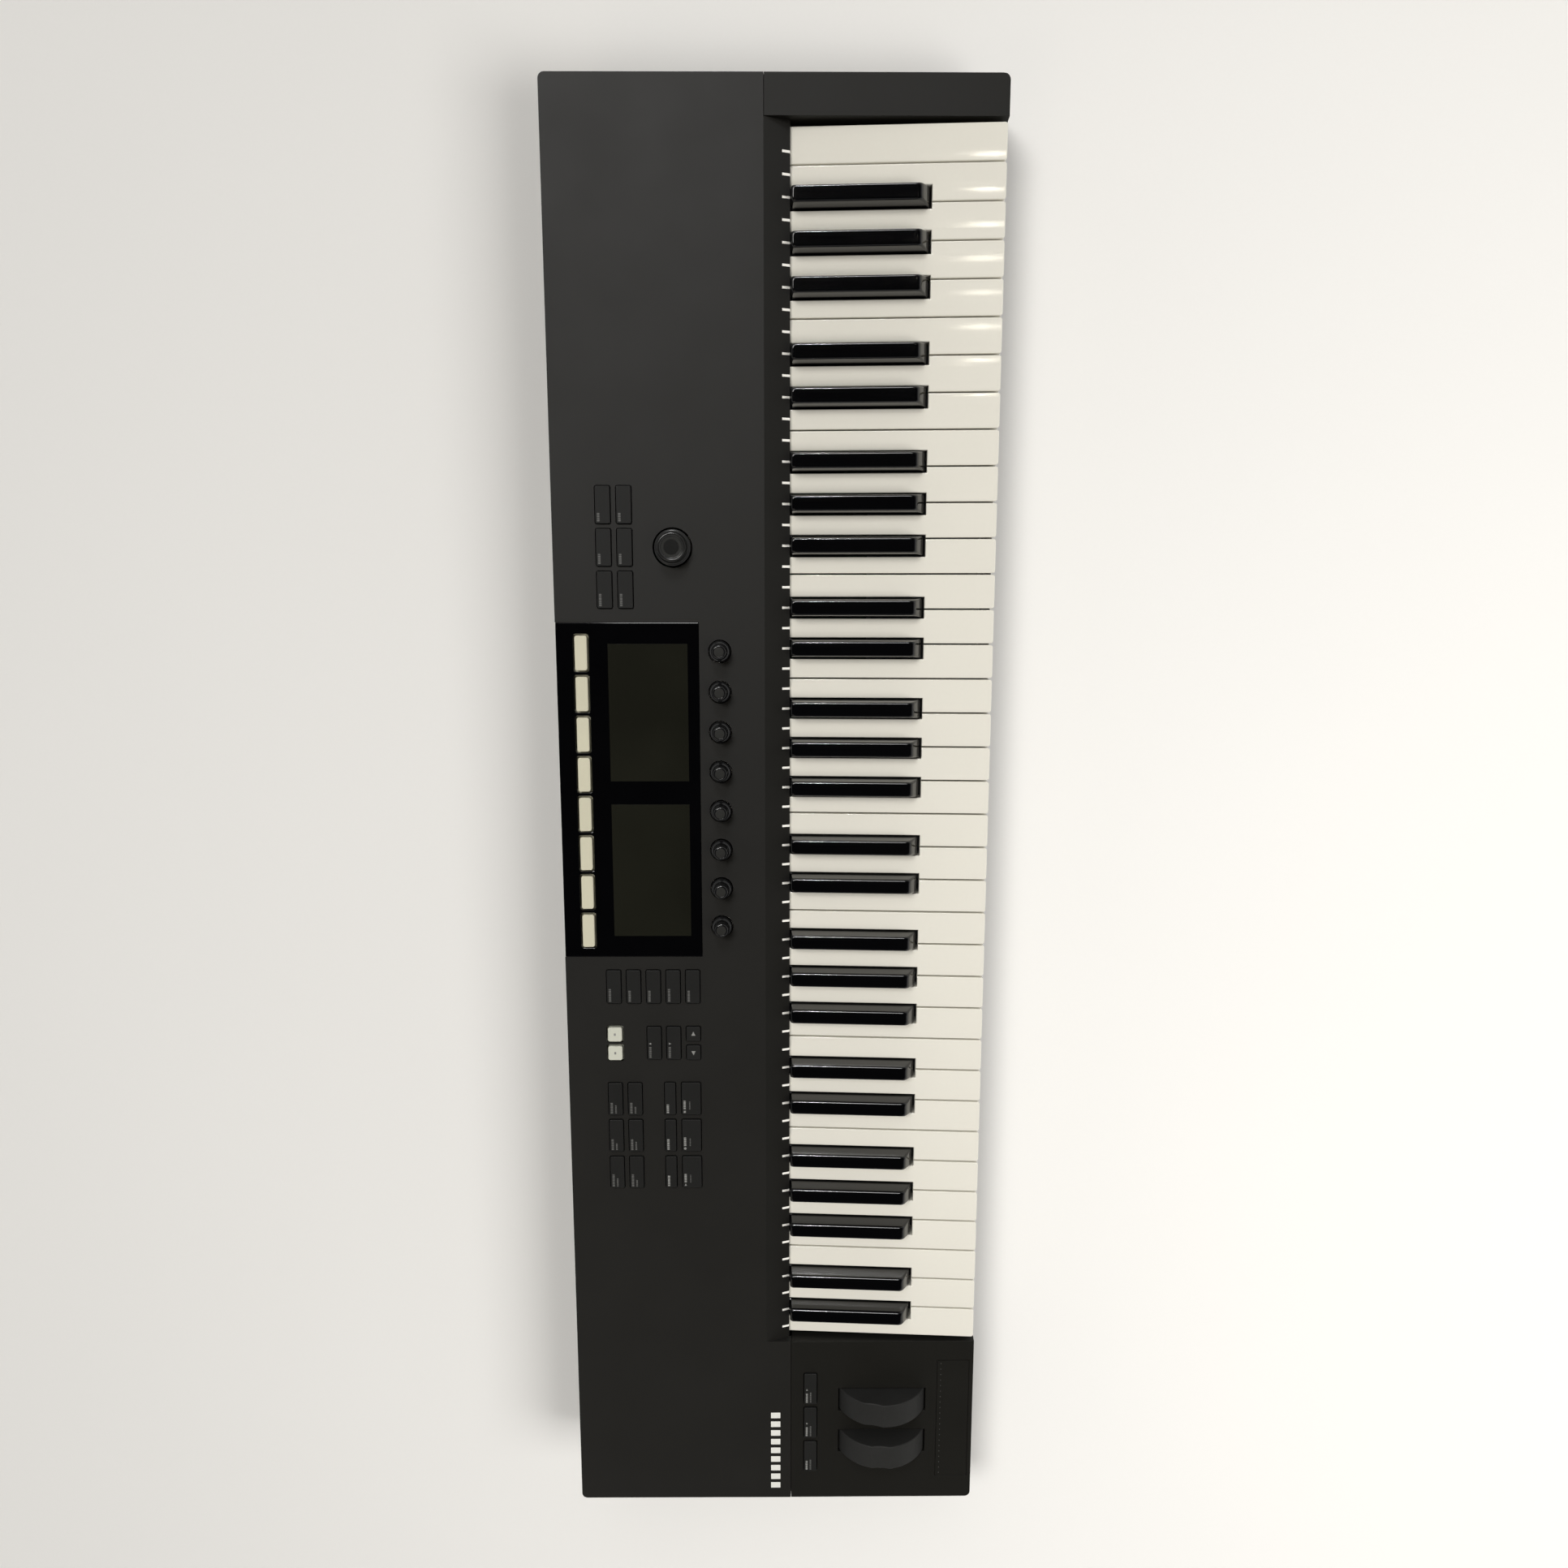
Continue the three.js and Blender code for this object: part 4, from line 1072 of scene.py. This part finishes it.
class KEYBOARD_OT_prints(bpy.types.Operator):
    """Puts small plain marks on the caps, where a maker would print words."""

    bl_idname = "keyboard.prints"
    bl_label = "Cap marks"

    # All in mm: the ink's lower and upper face over a cap, the widths of a word's bars and the space
    # between them, and the lengths of the words on the larger mats.
    RISE = (-0.05, 0.03)
    BARS = (1.25, 0.9, 1.1, 1.3, 0.8)
    SPACE = 0.32
    TALL = 1.7
    WORDS = {"mode_buttons": 9.5, "browse_buttons": 7.5, "edit_buttons": 9.0, "loop_buttons": 8.0}
    ARROW_CAP = 15.0
    DIM = 1

    def execute(self, context):
        looks = [ink_grey_pad_printed(), ink_dim_pad_printed()]
        for node in DARK_MATS:
            slope = slope_for(node)
            bm = bmesh.new()
            for i, (a, b) in enumerate(cap_tops(node, slope)):
                self.cap(bm, node, i, slope, a, b)
            make(node + "_marks", bm, looks, node)
        slope = slope_for("mute_solo_buttons")
        bm = bmesh.new()
        for a, b in cap_tops("mute_solo_buttons", slope):
            mid = (a + b) / 2
            self.bar(bm, slope, mid.x - 0.9, mid.x + 0.9, mid.y - 0.7, mid.y + 0.7, b.z)
        make("mute_solo_buttons_marks", bm, [ink_grey_pad_printed()], "mute_solo_buttons")
        return {"FINISHED"}

    def cap(self, bm, node, i, slope, a, b):
        if b.x - a.x < self.ARROW_CAP:
            low, high = box_on(node, slope)
            mid = (a + b) / 2
            left = mid.x < (low.x + high.x) / 2
            self.arrow(bm, slope, mid.x, mid.y, math.pi if left else 0.0, 1.9, b.z)
            return
        x, y = a.x + 1.3, b.y - 1.2
        if node in ("play_button", "record_button", "stop_button"):
            self.glyph(bm, node, slope, x + 1.0, y - 0.9, b.z)
            self.word(bm, slope, x + 2.9, y, 6.5, self.TALL, b.z)
            self.word(bm, slope, x + 2.9, y - 4.1, 5.5, 0.9, b.z, self.DIM)
        elif node == "octave_buttons":
            self.word(bm, slope, x, y, 7.0, 1.5, b.z)
            self.word(bm, slope, x, y - 3.0, 8.0, 1.2, b.z, self.DIM)
            if i:
                self.arrow(bm, slope, x + 10.5, y - 0.8, math.pi if i == 1 else 0.0, 0.9, b.z)
        elif node == "preset_buttons":
            self.word(bm, slope, x, y, 8.0, self.TALL, b.z, self.DIM)
            self.arrow(bm, slope, x + 10.6, y - 0.9, math.pi / 2 if i == 0 else -math.pi / 2, 1.0, b.z)
        else:
            ink = 0 if node == "loop_buttons" else self.DIM
            self.word(bm, slope, x, y, self.WORDS[node] - (i % 3), self.TALL, b.z, ink)
            if node == "edit_buttons":
                self.word(bm, slope, x, y - 3.2, 6.0 - (i % 2), 1.2, b.z, self.DIM)

    def bar(self, bm, slope, x0, x1, y0, y1, z, ink=0):
        block(bm, x0, x1, y0, y1, z + self.RISE[0], z + self.RISE[1], slope, 0.06, ink)

    def word(self, bm, slope, x, y, long, tall, z, ink=0):
        """A row of short bars that ends at a length."""
        at, i = x, 0
        while at < x + long:
            wide = self.BARS[i % len(self.BARS)] * tall / self.TALL
            self.bar(bm, slope, at, at + wide, y - tall, y, z, ink)
            at += wide + self.SPACE
            i += 1

    def arrow(self, bm, slope, x, y, turn, size, z):
        """A triangle whose point lies in the direction of turn."""
        corners = [Vector((size * math.cos(turn + a), size * math.sin(turn + a))) for a in (0, 2.25, 4.03)]
        rings = [[slope @ Vector((x + p.x, y + p.y, z + rise)) for p in corners] for rise in self.RISE]
        loft(bm, rings)

    def glyph(self, bm, node, slope, x, y, z):
        """The usual triangle, disc and square of play, record and stop."""
        if node == "play_button":
            self.arrow(bm, slope, x, y, 0.0, 1.1, z)
        elif node == "record_button":
            turned(bm, [(0.95, z + rise) for rise in self.RISE], slope, x, y, 16)
        else:
            self.bar(bm, slope, x - 0.8, x + 0.8, y - 0.8, y + 0.8, z)


class KEYBOARD_OT_display(bpy.types.Operator):
    """Finishes the acrylic window and lays the two display fields in it."""

    bl_idname = "keyboard.display"
    bl_label = "Display window"

    def execute(self, context):
        dress("display_glass", window_acrylic_polished(), 0.3)
        for side in ("left", "right"):
            dress(f"screen_{side}", display_cells_laminated())
            low, high = box_on(f"screen_{side}", PANEL)
            bm = bmesh.new()
            # A hair proud of the window, so that the window's face doesn't hide the field.
            block(bm, low.x, high.x, low.y, high.y, -0.2, 0.03, PANEL, 0.1)
            make(f"{side}_display_field", bm, [display_cells_laminated()], "case")
        return {"FINISHED"}


class KEYBOARD_OT_strips(bpy.types.Operator):
    """Finishes the touch strip and the light guide, and sets the strip's small lights."""

    bl_idname = "keyboard.strips"
    bl_label = "Touch strip and lights"

    # Where the row of lights lies in the strip, in mm from its ends and from its rear edge.
    END = 2.5
    INSET = 2.6

    def execute(self, context):
        dress("touch_strip", block_soft_paint())
        dress("light_guide", light_guide_acrylic_frosted())
        low, high = box_on("touch_strip", BLOCK)
        count = sizes().strip_lights
        bm = bmesh.new()
        lens = [(0.3, -0.1), (0.3, 0.02), (0.2, 0.06), (0.1, 0.08)]
        for i in range(count):
            x = low.x + self.END + (high.x - low.x - 2 * self.END) * i / (count - 1)
            turned(bm, lens, BLOCK, x, high.y - self.INSET, 10)
        make("touch_strip_lights", bm, [ink_dim_pad_printed()], "case")
        return {"FINISHED"}


class KEYBOARD_OT_sockets(bpy.types.Operator):
    """Fits rings, pins and tongues to the rear sockets."""

    bl_idname = "keyboard.sockets"
    bl_label = "Rear sockets"

    # Sockets are told apart by their hole's radius, and the flat one by its place, in mm.
    FIVE_PIN = 8.0
    JACK = 6.3
    FLAT_LEFT_OF = -390.0

    def execute(self, context):
        dress("rear_jack_board", socket_nylon_moulded())
        rear = Matrix.Rotation(math.radians(-90), 4, "X")
        faces = islands("rear_jack_board", rear, lambda f, top: all(v.co.z > top - 0.1 for v in f.verts))
        metal, black = bmesh.new(), bmesh.new()
        level = max(b.z for _, b in faces)
        for a, b in sorted(faces, key=lambda f: f[0].x):
            mid, r = (a + b) / 2, (b.x - a.x) / 2
            self.fit(metal, black, rear, mid.x, mid.y, r, level)
        make("socket_metal", metal, [nickel_plated_turned()], "case")
        make("socket_inserts", black, [socket_nylon_moulded()], "case")
        return {"FINISHED"}

    def ring(self, bm, rear, x, y, inner, outer, z0, z1, segments=40):
        """A turned ring, closed on itself."""
        rim = 0.2
        points = [(inner, z0), (outer, z0), (outer, z1 - rim), (outer - rim, z1)]
        points += [(inner + rim, z1), (inner, z1 - rim)]
        rings = [
            [rear @ Vector((x + r * math.cos(a), y + r * math.sin(a), h)) for r, h in points]
            for a in (2 * math.pi * i / segments for i in range(segments))
        ]
        loft(bm, rings, closed=True)

    def fit(self, metal, black, rear, x, y, r, z):
        if r > self.FIVE_PIN:
            self.ring(metal, rear, x, y, 7.0, 7.4, z - 3.3, z + 0.05)
            pin = [(0.7, z - 3.6), (0.7, z - 1.6), (0.4, z - 1.3)]
            for turn in range(-180, 1, 45):
                a = math.radians(turn)
                turned(metal, pin, rear, x + 4.4 * math.cos(a), y - 4.4 * math.sin(a), 12)
        elif r > self.JACK:
            self.ring(black, rear, x, y, 2.8, 4.4, z - 0.2, z + 0.15)
            turned(metal, [(0.95, z - 3.6), (0.95, z - 0.9), (0.5, z - 0.5)], rear, x, y, 16)
        elif x < self.FLAT_LEFT_OF:
            block(black, x - 2.6, x + 2.6, y - 1.6, y + 1.6, z - 3.6, z - 0.6, rear, 0.3)
        else:
            self.ring(metal, rear, x, y, 3.2, 5.6, z - 0.1, z + 0.18)


class KEYBOARD_OT_screws(bpy.types.Operator):
    """Drives three rows of socket-head screws into the underside."""

    bl_idname = "keyboard.screws"
    bl_label = "Underside screws"

    # In mm: the rows' distance from the tray's sides and ends, and each head's rings as radius, height
    # and how far the ring is a hexagon.
    SIDE = 14.0
    END = 90.0
    HEAD = (
        (3.0, -0.1, 0.0), (3.0, 0.5, 0.0), (2.7, 1.0, 0.0), (2.0, 1.4, 0.0), (1.5, 1.5, 0.0),
        (1.25, 1.5, 1.0), (1.2, 0.5, 1.0),
    )

    def execute(self, context):
        low, high = box_mm("bottom_case")
        count = sizes().screws
        bm = bmesh.new()
        down = Matrix.Translation((0, 0, low.z)) @ Matrix.Rotation(math.pi, 4, "X")
        for y in (low.y + self.SIDE, (low.y + high.y) / 2, high.y - self.SIDE):
            for i in range(count):
                x = low.x + self.END + (high.x - low.x - 2 * self.END) * i / (count - 1)
                self.screw(bm, down, x, -y)
        make("underside_screws", bm, [steel_black_oxide()], "case")
        return {"FINISHED"}

    def screw(self, bm, down, x, y):
        """A domed head with a hexagonal pocket."""
        rings = []
        for r, h, flat in self.HEAD:
            ring = []
            for i in range(24):
                a = 2 * math.pi * i / 24
                hexagon = 1 / math.cos((a % (math.pi / 3)) - math.pi / 6) * 0.95
                reach = r * (1 + flat * (hexagon - 1))
                ring.append(down @ Vector((x + reach * math.cos(a), y + reach * math.sin(a), h)))
            rings.append(ring)
        loft(bm, rings)


class KEYBOARD_OT_mark(bpy.types.Operator):
    """Prints a plain row of bars on the panel over the wheels."""

    bl_idname = "keyboard.mark"
    bl_label = "Panel mark"

    # In mm: the bars' pitch, width and height, and their distance from the panel's end and from the seam.
    BARS = 9
    PITCH = 7.4
    WIDE = 5.2
    TALL = 7.6
    INSET = 8.0

    def execute(self, context):
        low, high = box_mm("wheel_panel")
        seam = PANEL.inverted() @ Vector((0, high.y, high.z))
        bm = bmesh.new()
        y = seam.y + self.INSET
        for i in range(self.BARS):
            x = low.x + self.INSET + self.PITCH * i
            block(bm, x, x + self.WIDE, y, y + self.TALL, -0.05, 0.03, PANEL, 0.4)
        make("panel_mark", bm, [ink_white_pad_printed()], "case")
        return {"FINISHED"}


OPERATORS = (
    KEYBOARD_OT_stage,
    KEYBOARD_OT_case,
    KEYBOARD_OT_panels,
    KEYBOARD_OT_naturals,
    KEYBOARD_OT_sharps,
    KEYBOARD_OT_wheels,
    KEYBOARD_OT_knobs,
    KEYBOARD_OT_encoder,
    KEYBOARD_OT_buttons,
    KEYBOARD_OT_prints,
    KEYBOARD_OT_display,
    KEYBOARD_OT_strips,
    KEYBOARD_OT_sockets,
    KEYBOARD_OT_screws,
    KEYBOARD_OT_mark,
)
GROUPS = {
    "keyboard_colours": KeyboardColours,
    "keyboard_sizes": KeyboardSizes,
    "keyboard_stage": KeyboardStage,
}


class KEYBOARD_PT_pieces(bpy.types.Panel):
    """Lists the pieces and the sizes and colours they take."""

    bl_idname = "KEYBOARD_PT_pieces"
    bl_label = "Controller Keyboard"
    bl_space_type = "VIEW_3D"
    bl_region_type = "UI"
    bl_category = "Keyboard"

    def draw(self, context):
        for operator in OPERATORS:
            self.layout.operator(operator.bl_idname)
        for name in GROUPS:
            group = getattr(context.scene, name)
            box = self.layout.box()
            for item in group.bl_rna.properties.keys()[2:]:
                box.prop(group, item)


def register():
    for name, group in GROUPS.items():
        bpy.utils.register_class(group)
        setattr(bpy.types.Scene, name, PointerProperty(type=group))
    for made in (*OPERATORS, KEYBOARD_PT_pieces):
        bpy.utils.register_class(made)


def unregister():
    for made in reversed((*OPERATORS, KEYBOARD_PT_pieces)):
        bpy.utils.unregister_class(made)
    for name, group in reversed(GROUPS.items()):
        delattr(bpy.types.Scene, name)
        bpy.utils.unregister_class(group)


def main():
    register()
    for operator in OPERATORS:
        getattr(bpy.ops.keyboard, operator.bl_idname.split(".")[1])()
    bpy.context.view_layer.update()


if __name__ == "__main__":
    main()
